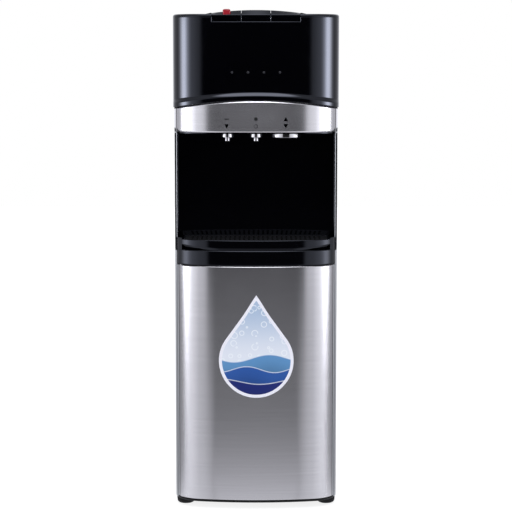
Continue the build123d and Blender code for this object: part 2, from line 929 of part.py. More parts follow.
def key_tray():
    """Tray under the keys with a bearing block at each end of the shaft, hung from the lid."""
    half = half_keys + gap + bearing_width
    tray = block(-half, half, -far, key_rear_y, key_tray_z - plate, key_tray_z)
    tray = tray & slab(head_plan(shell_wall + gap), key_tray_z - plate, key_tray_z)
    for side in (-1, 1):
        inner = side * (half_keys + gap)
        outer = side * half
        tray += block(min(inner, outer), max(inner, outer), key_rear_y - bearing_depth, key_rear_y,
                      key_tray_z, cover_under)
    return tray - bar_x(-half, half, shaft_y, shaft_z, shaft_radius + running_fit)


def key_shaft():
    """Steel rod that the three keys turn on."""
    half = half_keys + gap + bearing_width
    return bar_x(-half, half, shaft_y, shaft_z, shaft_radius)


def key_springs():
    """Return springs on the shaft, one inside each key."""
    springs = []
    for index in (-1, 0, 1):
        low = index * key_pitch - spring_length / 2
        coil = bar_x(low, low + spring_length, shaft_y, shaft_z, spring_outer_radius)
        springs.append(coil - bar_x(low, low + spring_length, shaft_y, shaft_z, shaft_radius + running_fit))
    return group(springs)


def microswitches():
    """Switch blocks on the tray, one under each key."""
    front = key_front_y + switch_block_setback
    top = key_tray_z + switch_block_height
    half = switch_block_width / 2
    rear = front + switch_block_depth
    return group([block(index * key_pitch - half, index * key_pitch + half, front, rear, key_tray_z, top)
                  for index in (-1, 0, 1)])


def hinge_pins():
    """Upper and lower pins that the door turns on."""
    low = post(hinge_x, hinge_y, foot_height, door_bottom + hinge_pin_reach, hinge_pin_radius)
    high = post(hinge_x, hinge_y, door_top - hinge_pin_reach, trim_bottom + shell_wall, hinge_pin_radius)
    return group([low, high])


def door_skin():
    """Bowed steel face of the door with folded top and bottom edges."""
    wall = door_skin_thickness
    skin = slab(body_plan(), door_bottom, door_top)
    skin -= slab(body_plan(wall), door_bottom + wall, door_top - wall)
    skin = skin & before(door_rear_y)
    return skin - post(hinge_x, hinge_y, door_bottom, door_top, hinge_pin_radius + gap)


def door_liner():
    """Moulded pan inside the door, with solid blocks for the hinge pins."""
    wall = door_skin_thickness + gap
    low = door_bottom + wall
    high = door_top - wall
    liner = slab(body_plan(wall), low, high) & before(door_rear_y)
    hollow = slab(body_plan(0), low + liner_wall, high - liner_wall) & before(door_rear_y - liner_wall)
    hinge_end = hinge_x + hinge_block_width / 2
    for z in (low, high - hinge_block_height):
        hollow -= block(-far, hinge_end, -far, far, z, z + hinge_block_height)
    liner -= hollow
    for z in (low, high - hinge_pin_reach):
        liner -= post(hinge_x, hinge_y, z, z + hinge_pin_reach, hinge_pin_radius + running_fit)
    return liner


def door_strike():
    """Steel plate on the door's inner face that the catch holds."""
    return catch_block(door_rear_y, door_rear_y + strike_thickness)


def catch_magnet():
    """Magnetic catch on the bay's flange."""
    return catch_block(door_rear_y + strike_thickness + gap, frame_y)


def catch_block(front, rear):
    """Block at the catch's place, between two depths."""
    top = trim_bottom - (bay_flange - catch_height) / 2
    return block(catch_x - catch_width / 2, catch_x + catch_width / 2, front, rear, top - catch_height, top)


def compressor():
    """Domed compressor with a start box, on a plate."""
    low = deck_top + grommet_height
    top = low + compressor_plate_thickness
    wide = compressor_plate_width / 2
    deep = compressor_plate_depth / 2
    base = block(compressor_x - wide, compressor_x + wide, compressor_y - deep, compressor_y + deep,
                 low, top)
    dome = post(compressor_x, compressor_y, top, top + compressor_height, compressor_radius)
    dome = fillet(dome.edges().group_by(Axis.Z)[-1], compressor_round)
    front = compressor_y - compressor_radius - start_box_proud
    box = block(compressor_x - start_box_width / 2, compressor_x + start_box_width / 2, front,
                compressor_y, top + start_box_lift, top + start_box_lift + start_box_height)
    return base + dome + box


def compressor_grommets():
    """Rubber mounts under the compressor's plate."""
    wide = compressor_plate_width / 2 - grommet_inset
    deep = compressor_plate_depth / 2 - grommet_inset
    top = deck_top + grommet_height
    return group([post(compressor_x + side * wide, compressor_y + end * deep, deck_top, top, grommet_radius)
                  for side in (-1, 1) for end in (-1, 1)])


def condenser():
    """Finned condenser block behind the louvres."""
    half = condenser_size / 2
    rear = condenser_y + condenser_depth
    middle = condenser_y + condenser_depth / 2
    count = int(condenser_size / condenser_fin_pitch)
    low = condenser_z - half
    high = condenser_z + half
    fins = []
    for step in range(count):
        x = condenser_x - half + step * condenser_fin_pitch
        fins.append(block(x, x + condenser_fin_thickness, condenser_y, rear, low, high))
    last = condenser_x - half + (count - 1) * condenser_fin_pitch + condenser_fin_thickness
    core = fins[0]
    for row in range(condenser_tube_rows):
        z = low + (row + 0.5) * condenser_size / condenser_tube_rows
        core += bar_x(condenser_x - half, last, middle, z, condenser_tube_radius)
    for fin in fins[1:]:
        core += fin
    return core


def fan_shroud():
    """Square shroud in front of the condenser with a ring for the fan, struts for the motor and two legs."""
    half = condenser_size / 2
    low_x = condenser_x - half
    high_x = condenser_x + half
    low_z = condenser_z - half
    high_z = condenser_z + half
    shroud = block(low_x, high_x, shroud_y, condenser_y, low_z, high_z)
    shroud -= bar_y(shroud_y, condenser_y, condenser_x, condenser_z, fan_radius + liner_wall)
    strut_front = shroud_y - shroud_wall
    strut = fan_strut_width / 2
    shroud += block(low_x, high_x, strut_front, shroud_y, condenser_z - strut, condenser_z + strut)
    shroud += block(condenser_x - strut, condenser_x + strut, strut_front, shroud_y, low_z, high_z)
    for x in (low_x, high_x - fan_strut_width):
        shroud += block(x, x + fan_strut_width, shroud_y, condenser_y, deck_top, low_z)
    return shroud - bar_y(strut_front, shroud_y, condenser_x, condenser_z, fan_shaft_radius + 2 * gap)


def fan_motor():
    """Round motor on the shroud's struts."""
    rear = shroud_y - shroud_wall
    return bar_y(rear - fan_motor_depth, rear, condenser_x, condenser_z, fan_motor_radius) - bar_y(
        rear - fan_motor_depth / 2, rear, condenser_x, condenser_z, fan_shaft_radius + running_fit)


def fan_blade():
    """Fan wheel: hub, shaft and pitched blades."""
    front = fan_y - fan_hub_depth / 2
    wheel = bar_y(front, front + fan_hub_depth, condenser_x, condenser_z, fan_hub_radius)
    motor_rear = shroud_y - shroud_wall
    wheel += bar_y(motor_rear - fan_motor_depth / 2, front, condenser_x, condenser_z, fan_shaft_radius)
    length = fan_radius - fan_hub_radius / 2
    for step in range(fan_blade_count):
        vane = Pos(0, 0, fan_radius - length / 2) * Rot(0, 0, fan_blade_pitch) * Box(
            fan_blade_chord, fan_blade_thickness, length)
        wheel += Pos(condenser_x, fan_y, condenser_z) * Rot(0, step * 360 / fan_blade_count, 0) * vane
    return wheel & bar_y(-far, far, condenser_x, condenser_z, fan_radius)


def hot_tank():
    """Heated tank on three legs."""
    low = deck_top + tank_leg_height
    tank = post(hot_tank_x, hot_tank_y, low, low + hot_tank_height, hot_tank_radius)
    tank = fillet(tank.edges().filter_by(GeomType.CIRCLE), hot_tank_round)
    spread = hot_tank_radius - hot_tank_round - 2 * tank_leg_radius
    for turn in (90, 210, 330):
        x = hot_tank_x + spread * cos(radians(turn))
        y = hot_tank_y + spread * sin(radians(turn))
        tank += post(x, y, deck_top, low + hot_tank_round, tank_leg_radius)
    return tank


def water_pump():
    """Pump on the deck over the probe, with a round motor on its body."""
    body = block(pump_x - pump_width / 2, pump_x + pump_width / 2, pump_y - pump_depth / 2,
                 pump_y + pump_depth / 2, deck_top, deck_top + pump_height)
    return fillet(body.edges().filter_by(Axis.Z), pump_round)


def drier():
    """Copper drier with drawn ends, standing on the deck."""
    low = deck_top + drier_neck
    high = low + drier_height
    body = post(drier_x, drier_y, low, high, drier_radius)
    body += post(drier_x, drier_y, deck_top, low, drier_neck_radius)
    return body + post(drier_x, drier_y, high, high + drier_neck, drier_neck_radius)


def tank_inlet():
    """Where the feed hose enters the cold tank from below."""
    return cold_tank_x, cold_tank_y + tank_inlet_offset


def water_lines():
    """Suction hose from the probe up to the pump, and feed hose from the pump to the cold tank."""
    suction = post(probe_x, probe_y, probe_seat_z + probe_cap_height, deck_top, hose_radius)
    inlet_at_x, inlet_at_y = tank_inlet()
    low = deck_top + feed_outlet_height
    high = ceiling_bottom - feed_crossing_drop
    route = FilletPolyline(
        (pump_x - pump_width / 2, pump_y, low),
        (feed_riser_x, pump_y, low),
        (feed_riser_x, pump_y, high),
        (inlet_at_x, inlet_at_y, high),
        (inlet_at_x, inlet_at_y, band_bottom + cold_tank_foot_height),
        radius=feed_bend,
    )
    section = Plane(route @ 0, z_dir=route % 0) * Circle(hose_radius)
    return group([suction, sweep(section, path=route)])


def mid_deck():
    """Plate at the height of the niche ceiling that carries the cold tank and the ice maker."""
    outline = slab(body_plan(panel_inset, rear_inner_y - gap), ceiling_bottom, band_bottom)
    deck = outline & behind(niche_rear_y + liner_wall + gap)
    x, y = tank_inlet()
    return deck - post(x, y, ceiling_bottom, band_bottom, hose_radius + gap)


def cold_tank():
    """Chilled tank on a foot ring."""
    low = band_bottom + cold_tank_foot_height
    tank = post(cold_tank_x, cold_tank_y, low, low + cold_tank_height, cold_tank_radius)
    tank = fillet(tank.edges().filter_by(GeomType.CIRCLE), cold_tank_round)
    ring = post(cold_tank_x, cold_tank_y, band_bottom, low, cold_tank_foot_radius)
    ring -= post(cold_tank_x, cold_tank_y, band_bottom, low, cold_tank_foot_radius - liner_wall)
    return tank + ring


def ice_bin():
    """Open bin for ice over the chute, with two ears for the water tray's pivots."""
    low_x = chute_x - bin_half_width
    high_x = chute_x + bin_half_width
    top = band_bottom + bin_height
    box = block(low_x, high_x, bin_front_y, bin_rear_y, band_bottom, top)
    box -= block(low_x + liner_wall, high_x - liner_wall, bin_front_y + liner_wall, bin_rear_y - liner_wall,
                 bin_floor, top)
    for x in (low_x, high_x - liner_wall):
        box += block(x, x + liner_wall, pivot_y - ear_depth / 2, pivot_y + ear_depth / 2, top,
                     pivot_z + ear_depth / 2)
    box -= bar_x(low_x, high_x, pivot_y, pivot_z, pivot_radius + running_fit)
    box -= bar_y(bin_front_y, bin_rear_y, chute_x, auger_z, auger_shaft_radius + running_fit)
    return box - chute_hole(band_bottom, bin_floor)


def ice_auger():
    """Shaft with paddles set along a screw line that push ice to the chute."""
    screw = bar_y(bin_front_y + gap, bin_rear_y, chute_x, auger_z, auger_shaft_radius)
    front = bin_front_y + liner_wall + paddle_width
    pitch = (bin_rear_y - liner_wall - paddle_width - front) / (paddle_count - 1)
    for step in range(paddle_count):
        paddle = Box(paddle_width, paddle_thickness, 2 * auger_radius)
        screw += Pos(chute_x, front + step * pitch, auger_z) * Rot(0, step * paddle_turn, 0) * paddle
    return screw


def auger_motor():
    """Gear motor behind the bin, on a foot."""
    front = bin_rear_y + gap
    motor = bar_y(front, front + auger_motor_depth, chute_x, auger_z, auger_motor_radius)
    return motor + block(chute_x - auger_motor_radius, chute_x + auger_motor_radius, front,
                         front + auger_motor_depth, band_bottom, auger_z)


def ice_evaporator():
    """Cold plate with fingers that ice grows on, hung from the lid on two studs."""
    low_x = chute_x - evaporator_width / 2
    rear = evaporator_front_y + evaporator_depth
    ice_plate = block(low_x, low_x + evaporator_width, evaporator_front_y, rear, evaporator_z,
                      evaporator_z + evaporator_thickness)
    middle = (ice_tray_front_y + evaporator_front_y + finger_pitch * finger_count) / 2 + finger_radius
    for row in range(finger_count):
        for column in range(finger_count):
            x = chute_x + (column - (finger_count - 1) / 2) * finger_pitch
            y = middle + (row - (finger_count - 1) / 2) * finger_pitch
            ice_plate += post(x, y, finger_tip, evaporator_z, finger_radius)
    for side in (-1, 1):
        x = chute_x + side * finger_pitch
        ice_plate += post(x, middle, evaporator_z + evaporator_thickness, cover_under, stud_radius)
    return ice_plate


def ice_water_tray():
    """Tilting tray under the fingers, on two pivot pins."""
    half = bin_half_width - liner_wall - ice_tray_margin
    low_x = chute_x - half
    high_x = chute_x + half
    top = ice_tray_bottom + ice_tray_height
    tray = block(low_x, high_x, ice_tray_front_y, ice_tray_rear_y, ice_tray_bottom, top)
    tray -= block(low_x + ice_tray_wall, high_x - ice_tray_wall, ice_tray_front_y + ice_tray_wall,
                  ice_tray_rear_y - ice_tray_wall, ice_tray_bottom + ice_tray_wall, top)
    for inner, outer in ((low_x, low_x + pivot_lug), (high_x - pivot_lug, high_x)):
        tray += block(inner, outer, ice_tray_rear_y - ice_tray_wall, pivot_y + 2 * pivot_radius,
                      pivot_z - 2 * pivot_radius, pivot_z + 2 * pivot_radius)
    reach = bin_half_width - gap
    for inner, outer in ((-reach, -half), (half, reach)):
        tray += bar_x(chute_x + inner, chute_x + outer, pivot_y, pivot_z, pivot_radius)
    return tray


nodes = {
    "base_pan": base_pan(),
    "base_feet": base_feet(),
    "side_panel_left": side_panel(-1),
    "side_panel_right": side_panel(1),
    "rear_panel": rear_panel(),
    "rear_panel_screws": rear_panel_screws(),
    "power_inlet": power_inlet(),
    "switch_housings": switch_housings(),
    "hot_switch": switch_rocker(switch_places()[0]),
    "cold_switch": switch_rocker(switch_places()[1]),
    "drain_spigot": drain_spigot(),
    "drain_cap": drain_cap(),
    "bottle_bay": bottle_bay(),
    "probe_holder": probe_holder(),
    "bottle_probe": bottle_probe(),
    "deck_plate": deck_plate(),
    "lower_trim": lower_trim(),
    "drip_tray": drip_tray(),
    "drip_grille": drip_grille(),
    "niche_liner": niche_liner(),
    "tap_nozzles": tap_nozzles(),
    "ice_chute_ring": ice_chute_ring(),
    "ice_flap": ice_flap(),
    "solenoid_valves": solenoid_valves(),
    "trim_band": trim_band(),
    "head_shell": head_shell(),
    "indicator_lenses": indicator_lenses(),
    "control_board": control_board(),
    "top_cover": top_cover(),
    "key_bezel": key_bezel(),
    "hot_key": key(-1),
    "cold_key": key(0),
    "ice_key": key(1),
    "child_lock": child_lock(),
    "key_tray": key_tray(),
    "key_shaft": key_shaft(),
    "key_springs": key_springs(),
    "microswitches": microswitches(),
    "door_hinge_pins": hinge_pins(),
    "door_skin": door_skin(),
    "door_liner": door_liner(),
    "door_strike": door_strike(),
    "catch_magnet": catch_magnet(),
    "compressor": compressor(),
    "compressor_grommets": compressor_grommets(),
    "condenser": condenser(),
    "fan_shroud": fan_shroud(),
    "fan_motor": fan_motor(),
    "fan_blade": fan_blade(),
    "hot_tank": hot_tank(),
    "water_pump": water_pump(),
    "drier": drier(),
    "water_lines": water_lines(),
    "mid_deck": mid_deck(),
    "cold_tank": cold_tank(),
    "ice_bin": ice_bin(),
    "ice_auger": ice_auger(),
    "auger_motor": auger_motor(),
    "ice_evaporator": ice_evaporator(),
    "ice_water_tray": ice_water_tray(),
}
for name, shape in nodes.items():
    export_step(shape, f"parts/{name}.step")
print(len(nodes), "nodes")
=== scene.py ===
"""Looks of a bow-fronted water dispenser with an ice maker: shells, finishes, studio and camera.

The shells that show are worked out again here as smooth surfaces in metres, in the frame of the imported
parts: X is the width, the front faces -Y and Z is up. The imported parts' boxes give most places, and each
class keeps its other sizes as fields.
"""
import json
import logging
import math
from dataclasses import dataclass
from enum import Enum
from typing import Any, Optional, Sequence

import bmesh
import bpy
import numpy as np
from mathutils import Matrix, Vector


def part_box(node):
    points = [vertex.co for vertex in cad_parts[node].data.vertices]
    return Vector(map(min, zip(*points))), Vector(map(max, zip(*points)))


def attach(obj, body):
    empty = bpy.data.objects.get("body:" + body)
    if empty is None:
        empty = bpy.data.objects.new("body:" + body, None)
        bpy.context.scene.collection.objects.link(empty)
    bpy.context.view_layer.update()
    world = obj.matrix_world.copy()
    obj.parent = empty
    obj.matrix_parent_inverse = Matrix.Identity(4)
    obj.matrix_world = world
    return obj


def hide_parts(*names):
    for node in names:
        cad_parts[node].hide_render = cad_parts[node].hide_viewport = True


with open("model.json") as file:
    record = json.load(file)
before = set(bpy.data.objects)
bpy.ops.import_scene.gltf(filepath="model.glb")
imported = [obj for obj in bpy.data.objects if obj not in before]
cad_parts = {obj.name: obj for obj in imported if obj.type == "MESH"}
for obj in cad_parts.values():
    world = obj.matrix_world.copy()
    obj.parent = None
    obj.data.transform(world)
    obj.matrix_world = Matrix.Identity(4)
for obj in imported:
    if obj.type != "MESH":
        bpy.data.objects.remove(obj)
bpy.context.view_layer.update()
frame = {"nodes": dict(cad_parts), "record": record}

log = logging.getLogger("dispenser")
Array = np.ndarray
Colour = tuple[float, float, float]
Stops = tuple[tuple[float, float], ...]

MM = 0.001
QUARTER = math.pi / 2
# Points nearer than this are one point, and headings nearer than the next value, in radians, are one heading
NEAR = 0.001 * MM
NEAR_HEADING = 1e-4
# Edges sharper than this many degrees aren't smoothed
CREASE = 32.0
# A flat face has a row of points this far from its rounded edge, which keeps its shading flat
HOLD = 0.6 * MM
# A film of print reaches this far into the face under it
SINK = 0.05 * MM
SQUARE = np.array([[-1.0, -1.0], [1.0, -1.0], [1.0, 1.0], [-1.0, 1.0]])
WHITE = (1.0, 1.0, 1.0, 1.0)


# Surfaces


def arc(centre: Sequence[float], radius: float, start: float, end: float, steps: int = 6) -> Array:
    """Points on a circular arc: centre + radius * (cos, sin) of angles from start to end.

    Args:
        centre: Middle of the circle, two numbers.
        radius: Radius of the circle.
        start: First angle in degrees.
        end: Last angle in degrees.
        steps: Number of chords.

    Returns:
        An array of (steps + 1, 2) points.
    """
    angle = np.radians(np.linspace(start, end, steps + 1))
    return np.asarray(centre) + radius * np.stack([np.cos(angle), np.sin(angle)], axis=-1)


def circle(radius: float, steps: int = 24) -> Array:
    """Points of a whole circle round the origin, without the closing one."""
    return arc((0.0, 0.0), radius, 0, 360, steps)[:-1]


def chain(*parts: Any) -> Array:
    """Joins single points and runs of points into one array of (n, 2) points."""
    return np.vstack([np.atleast_2d(np.asarray(part, float)) for part in parts])


def mirrored(points: Array) -> Array:
    """Left-hand copy of plan points, in reverse order, so that left and right make one run."""
    return points[::-1] * np.array([-1.0, 1.0])


def whole(half: Array, normals: Array) -> tuple[Array, Array]:
    """Whole path and its normals, from a right-hand half that ends on the centre line."""
    return np.vstack([half, mirrored(half)[1:]]), np.vstack([normals, mirrored(normals)[1:]])


def carry(path: Array, normals: Array, profile: Array) -> Array:
    """Carries a profile along a plan path: place = path - inset * normal, at the profile's height.

    Args:
        path: (n, 2) plan points.
        normals: (n, 2) unit normals, pointing out of the piece.
        profile: (m, 2) pairs of inset and height, or (n, m, 2) where the profile changes on its way.

    Returns:
        A grid of (n, m, 3) points.
    """
    shape = (len(path), profile.shape[-2], 2)
    profile = np.broadcast_to(profile, shape)
    plan = path[:, None, :] - profile[..., :1] * normals[:, None, :]
    return np.concatenate([plan, profile[..., 1:]], axis=-1)


def changing(*rows: tuple[Any, Any]) -> Array:
    """Profile that changes on its way: (n, m, 2) insets and heights, from m pairs that hold n values."""
    return np.stack([np.stack(np.broadcast_arrays(*row), axis=-1) for row in rows], axis=1)


def turned(profile: Array, centre: Sequence[float], steps: int = 40,
           reach: Sequence[float] = (0.0, 0.0)) -> Array:
    """Turns a profile about an upright axis: ((rx + r) * cos, (ry + r) * sin, height) over a full turn.

    Args:
        profile: (m, 2) pairs of radius r and height.
        centre: Plan place of the axis.
        steps: Number of facets round the axis.
        reach: Half axes rx and ry of the oval that the radius is added to.

    Returns:
        A grid of (steps, m, 3) points, open at its seam.
    """
    angle = np.linspace(0.0, 2.0 * np.pi, steps, endpoint=False)[:, None]
    x = centre[0] + (reach[0] + profile[:, 0]) * np.cos(angle)
    y = centre[1] + (reach[1] + profile[:, 0]) * np.sin(angle)
    return np.stack([x, y, np.broadcast_to(profile[:, 1], x.shape)], axis=-1)


class Shell:
    """Collects grids and flat faces into one mesh whose shared edges are joined."""

    def __init__(self, name: str) -> None:
        """Starts an empty shell.

        Args:
            name: Name of the piece.
        """
        self.name = name
        self.points: list[Array] = []
        self.faces: list[list[int]] = []
        self.count = 0

    def add(self, points: Array, faces: Array) -> "Shell":
        """Adds points and the faces between them.

        Args:
            points: An array of places, three numbers each.
            faces: Rows of point numbers, counted from the first new point.

        Returns:
            The shell itself.
        """
        self.faces += (np.asarray(faces) + self.count).tolist()
        self.points.append(points.reshape(-1, 3))
        self.count += points.size // 3
        return self

    def grid(self, points: Array, wrap_rows: bool = False, wrap_columns: bool = False) -> "Shell":
        """Adds quads between the neighbours in a grid.

        Args:
            points: A grid of (rows, columns, 3) points.
            wrap_rows: Whether the last row is joined to the first.
            wrap_columns: Whether the last column is joined to the first.

        Returns:
            The shell itself.
        """
        index = np.arange(points.size // 3).reshape(points.shape[:2])
        if wrap_rows:
            index = np.vstack([index, index[:1]])
        if wrap_columns:
            index = np.hstack([index, index[:, :1]])
        quads = np.stack([index[:-1, :-1], index[:-1, 1:], index[1:, 1:], index[1:, :-1]], axis=-1)
        return self.add(points, quads.reshape(-1, 4))

    def loop(self, points: Array) -> "Shell":
        """Adds a grid that is wrapped round both ways."""
        return self.grid(points, wrap_rows=True, wrap_columns=True)

    def face(self, points: Array) -> "Shell":
        """Adds one flat face round a run of points."""
        return self.add(points, np.arange(len(points))[None, :])

    def bar(self, points: Array) -> "Shell":
        """Adds a closed bar: a grid wrapped round its profile, with a flat face at each end."""
        return self.grid(points, wrap_columns=True).face(points[0]).face(points[-1])

    def prism(self, outline: Array, low: float, high: float) -> "Shell":
        """Adds an upright prism: one plan outline at two heights, closed above and below."""
        levels = (np.full(len(outline), height) for height in (low, high))
        return self.bar(np.stack([np.column_stack([outline, level]) for level in levels]))

    def film(self, flat: Array, lift: float) -> "Shell":
        """Adds a thin closed film on the body's bow, inside one outline of (x, z) points."""
        return self.bar(np.stack([lay_on_bow(flat, -SINK), lay_on_bow(flat, lift)]))

    def film_ring(self, outer: Array, inner: Array, lift: float) -> "Shell":
        """Adds a thin closed film on the body's bow, between two outlines of (x, z) points."""
        layers = ((outer, -SINK), (outer, lift), (inner, lift), (inner, -SINK))
        return self.loop(np.stack([lay_on_bow(*layer) for layer in layers]))

    def piece(self) -> bpy.types.Object:
        """Makes the object: merges doubles, turns faces outwards and smooths all but sharp edges.

        Returns:
            The linked object, at the origin.
        """
        mesh = bpy.data.meshes.new(self.name)
        mesh.from_pydata(np.vstack(self.points), [], self.faces)
        work = bmesh.new()
        work.from_mesh(mesh)
        bmesh.ops.remove_doubles(work, verts=work.verts, dist=NEAR)
        bmesh.ops.dissolve_degenerate(work, edges=work.edges, dist=NEAR / 10)
        bmesh.ops.recalc_face_normals(work, faces=work.faces)
        work.to_mesh(mesh)
        work.free()
        mesh.shade_smooth()
        mesh.set_sharp_from_angle(angle=math.radians(CREASE))
        made = bpy.data.objects.new(self.name, mesh)
        bpy.context.scene.collection.objects.link(made)
        return made


def soften(piece: bpy.types.Object, width: float, segments: int = 3, angle: float = 40.0) -> None:
    """Rounds a piece's sharp edges with a live bevel.

    Args:
        piece: The object to finish.
        width: Width of the rounded edge in metres.
        segments: Facets across it.
        angle: Edges sharper than this many degrees are rounded.
    """
    bevel = piece.modifiers.new("edge_round", "BEVEL")
    bevel.width = width
    bevel.segments = segments
    bevel.limit_method = "ANGLE"
    bevel.angle_limit = math.radians(angle)
    bevel.use_clamp_overlap = True
    bevel.harden_normals = True


@dataclass(frozen=True)
class BowPlan:
    """Bow-fronted outline: a wide front arc that runs into two tight corner arcs and straight sides.

    A place on it is a function of its heading, the angle of its outward normal from straight ahead.
    """

    half_width: float
    front_y: float
    front_radius: float = 640 * MM
    corner_radius: float = 60 * MM
    rear_radius: float = 5 * MM

    @property
    def corner_x(self) -> float:
        """Distance of a corner arc's middle from the centre line."""
        return self.half_width - self.corner_radius

    @property
    def meet(self) -> float:
        """Heading in radians at which the front arc meets a corner arc."""
        return math.asin(self.corner_x / (self.front_radius - self.corner_radius))

    @property
    def corner_y(self) -> float:
        """Depth of the corner arcs' middles."""
        reach = self.front_radius - self.corner_radius
        return self.front_y + self.front_radius - reach * math.cos(self.meet)

    def heading_at_depth(self, y: float) -> float:
        """Heading on a corner arc at a depth: arccos((middle - y) / radius)."""
        return math.acos((self.corner_y - y) / self.corner_radius)

    def heading_at_width(self, x: float) -> float:
        """Heading at a distance from the centre line: arcsin(offset / radius) on the arc that lies there.

        Args:
            x: Distance from the centre line, negative on the left.

        Returns:
            The heading in radians.
        """
        if abs(x) <= self.front_radius * math.sin(self.meet):
            return math.asin(x / self.front_radius)
        return math.copysign(math.asin((abs(x) - self.corner_x) / self.corner_radius), x)

    def front_at(self, x: Array) -> Array:
        """Depth of the wide front arc at distances from the centre line."""
        return self.front_y + self.front_radius - np.sqrt(self.front_radius**2 - np.square(x))

    def headings(self, start: float, end: float, per_corner: int = 14, per_front: int = 40) -> Array:
        """Headings from start to end, with evenly spread points on each arc between them.

        Args:
            start: First heading in radians.
            end: Last heading in radians.
            per_corner: Points on a whole corner arc.
            per_front: Points on the whole front arc.

        Returns:
            The sorted headings.
        """
        corner = np.linspace(self.meet, QUARTER, per_corner)
        front = np.linspace(-self.meet, self.meet, per_front)
        every = np.concatenate([-corner, front, corner])
        inside = every[(every > start + NEAR_HEADING) & (every < end - NEAR_HEADING)]
        return np.unique(np.concatenate([[start], inside, [end]]))

    def arcs(self, headings: Array) -> tuple[Array, Array]:
        """Points and outward normals: arc middle + radius * (sin, -cos) of each heading.

        Args:
            headings: Headings in radians, within a quarter turn either way.

        Returns:
            (n, 2) points and (n, 2) normals.
        """
        normals = np.stack([np.sin(headings), -np.cos(headings)], axis=-1)
        wide = np.array([0.0, self.front_y + self.front_radius]) + self.front_radius * normals
        middle = np.column_stack([np.sign(headings) * self.corner_x, np.full_like(headings, self.corner_y)])
        tight = middle + self.corner_radius * normals
        on_front = np.abs(headings)[:, None] <= self.meet
        return np.where(on_front, wide, tight), normals

    def run(self, headings: Array) -> Array:
        """Way along the outline from the centre line: radius * heading on the front, then on the corner.

        Args:
            headings: Headings in radians.

        Returns:
            The ways in metres, negative on the left.
        """
        size = np.abs(headings)
        front = np.minimum(size, self.meet) * self.front_radius
        return np.sign(headings) * (front + np.maximum(size - self.meet, 0.0) * self.corner_radius)

    def wrap(self, start: float, rear_y: float) -> tuple[Array, Array]:
        """Right-hand outline from a heading, down the side and round the rear corner to the centre line.

        Args:
            start: Heading where it begins.
            rear_y: Depth of the flat rear.

        Returns:
            (n, 2) points and (n, 2) normals.
        """
        points, normals = self.arcs(self.headings(start, QUARTER))
        corner_normals = arc((0.0, 0.0), 1.0, 0, 90)
        middle = np.array([self.half_width, rear_y]) - self.rear_radius
        points = chain(points, middle + self.rear_radius * corner_normals, (0.0, rear_y))
        return points, chain(normals, corner_normals, (0.0, 1.0))


BODY = BowPlan(half_width=173.5 * MM, front_y=-180.0 * MM)
HEAD = BowPlan(half_width=176.0 * MM, front_y=-174.5 * MM, front_radius=713 * MM)


@dataclass(frozen=True)
class Arch:
    """The band's arched top edge, a long circular arc over the front."""

    crown: float
    radius: float = 948 * MM

    def height(self, x: Array) -> Array:
        """Height at distances from the centre line: crown - radius + sqrt(radius^2 - x^2)."""
        return self.crown - self.radius + np.sqrt(self.radius**2 - np.square(x))


def lay_on_bow(flat: Array, lift: float) -> Array:
    """Lays (x, z) points on the body's bow, lifted off it: y = front(x) - lift."""
    return np.stack([flat[..., 0], BODY.front_at(flat[..., 0]) - lift, flat[..., 1]], axis=-1)


def span(node: str) -> tuple[Array, Array]:
    """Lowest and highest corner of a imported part, in metres."""
    low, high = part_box(node)
    return np.array(low), np.array(high)


# Finishes


class Tree:
    """Short way to add nodes to a shader tree and link them."""

    def __init__(self, tree: bpy.types.NodeTree) -> None:
        """Works on an existing tree."""
        self.tree = tree

    def add(self, kind: str, inputs: Optional[dict[Any, Any]] = None, **settings: Any) -> bpy.types.Node:
        """Adds a node, sets its options, and fills or links its inputs.

        Args:
            kind: Type of the node, without the leading ShaderNode.
            inputs: Values or output sockets by input name or number.
            settings: Options of the node itself.

        Returns:
            The new node.
        """
        node = self.tree.nodes.new("ShaderNode" + kind)
        for key, value in settings.items():
            setattr(node, key, value)
        for key, value in (inputs or {}).items():
            if isinstance(value, bpy.types.NodeSocket):
                self.tree.links.new(value, node.inputs[key])
            else:
                node.inputs[key].default_value = value
        return node

    def math(self, operation: str, *values: Any) -> bpy.types.NodeSocket:
        """Adds a sum of one kind and returns its result."""
        return self.add("Math", dict(enumerate(values)), operation=operation).outputs[0]

    def remap(self, value: Any, low: float, high: float, start: float, end: float) -> bpy.types.NodeSocket:
        """Smoothly maps a value from one range onto another and returns the result."""
        ranges = {"Value": value, "From Min": low, "From Max": high, "To Min": start, "To Max": end}
        return self.add("MapRange", ranges, interpolation_type="SMOOTHSTEP").outputs[0]

    def between(self, share: Any, first: Any, second: Any) -> bpy.types.NodeSocket:
        """Value that lies between two values: first * (1 - share) + second * share."""
        rest = self.math("MULTIPLY", first, self.math("SUBTRACT", 1.0, share))
        return self.math("MULTIPLY_ADD", second, share, rest)

    def blend(self, share: Any, first: Any, second: Any) -> bpy.types.NodeSocket:
        """Mixes two colours.

        Args:
            share: Share of the second colour.
            first: A colour, or an output socket.
            second: A colour, or an output socket.

        Returns:
            The mixed colour.
        """
        first, second = (value if isinstance(value, bpy.types.NodeSocket) else (*value, 1.0)
                         for value in (first, second))
        return self.add("Mix", {0: share, 6: first, 7: second}, data_type="RGBA").outputs[2]

    def place(self) -> bpy.types.NodeSocket:
        """Place on the piece in metres."""
        return self.add("TexCoord").outputs["Object"]

    def noise(self, vector: Any, scale: Any, detail: float = 2.0) -> bpy.types.NodeSocket:
        """Soft noise over a place, about 0 to 1."""
        return self.add("TexNoise", {"Vector": vector, "Scale": scale, "Detail": detail}).outputs["Fac"]


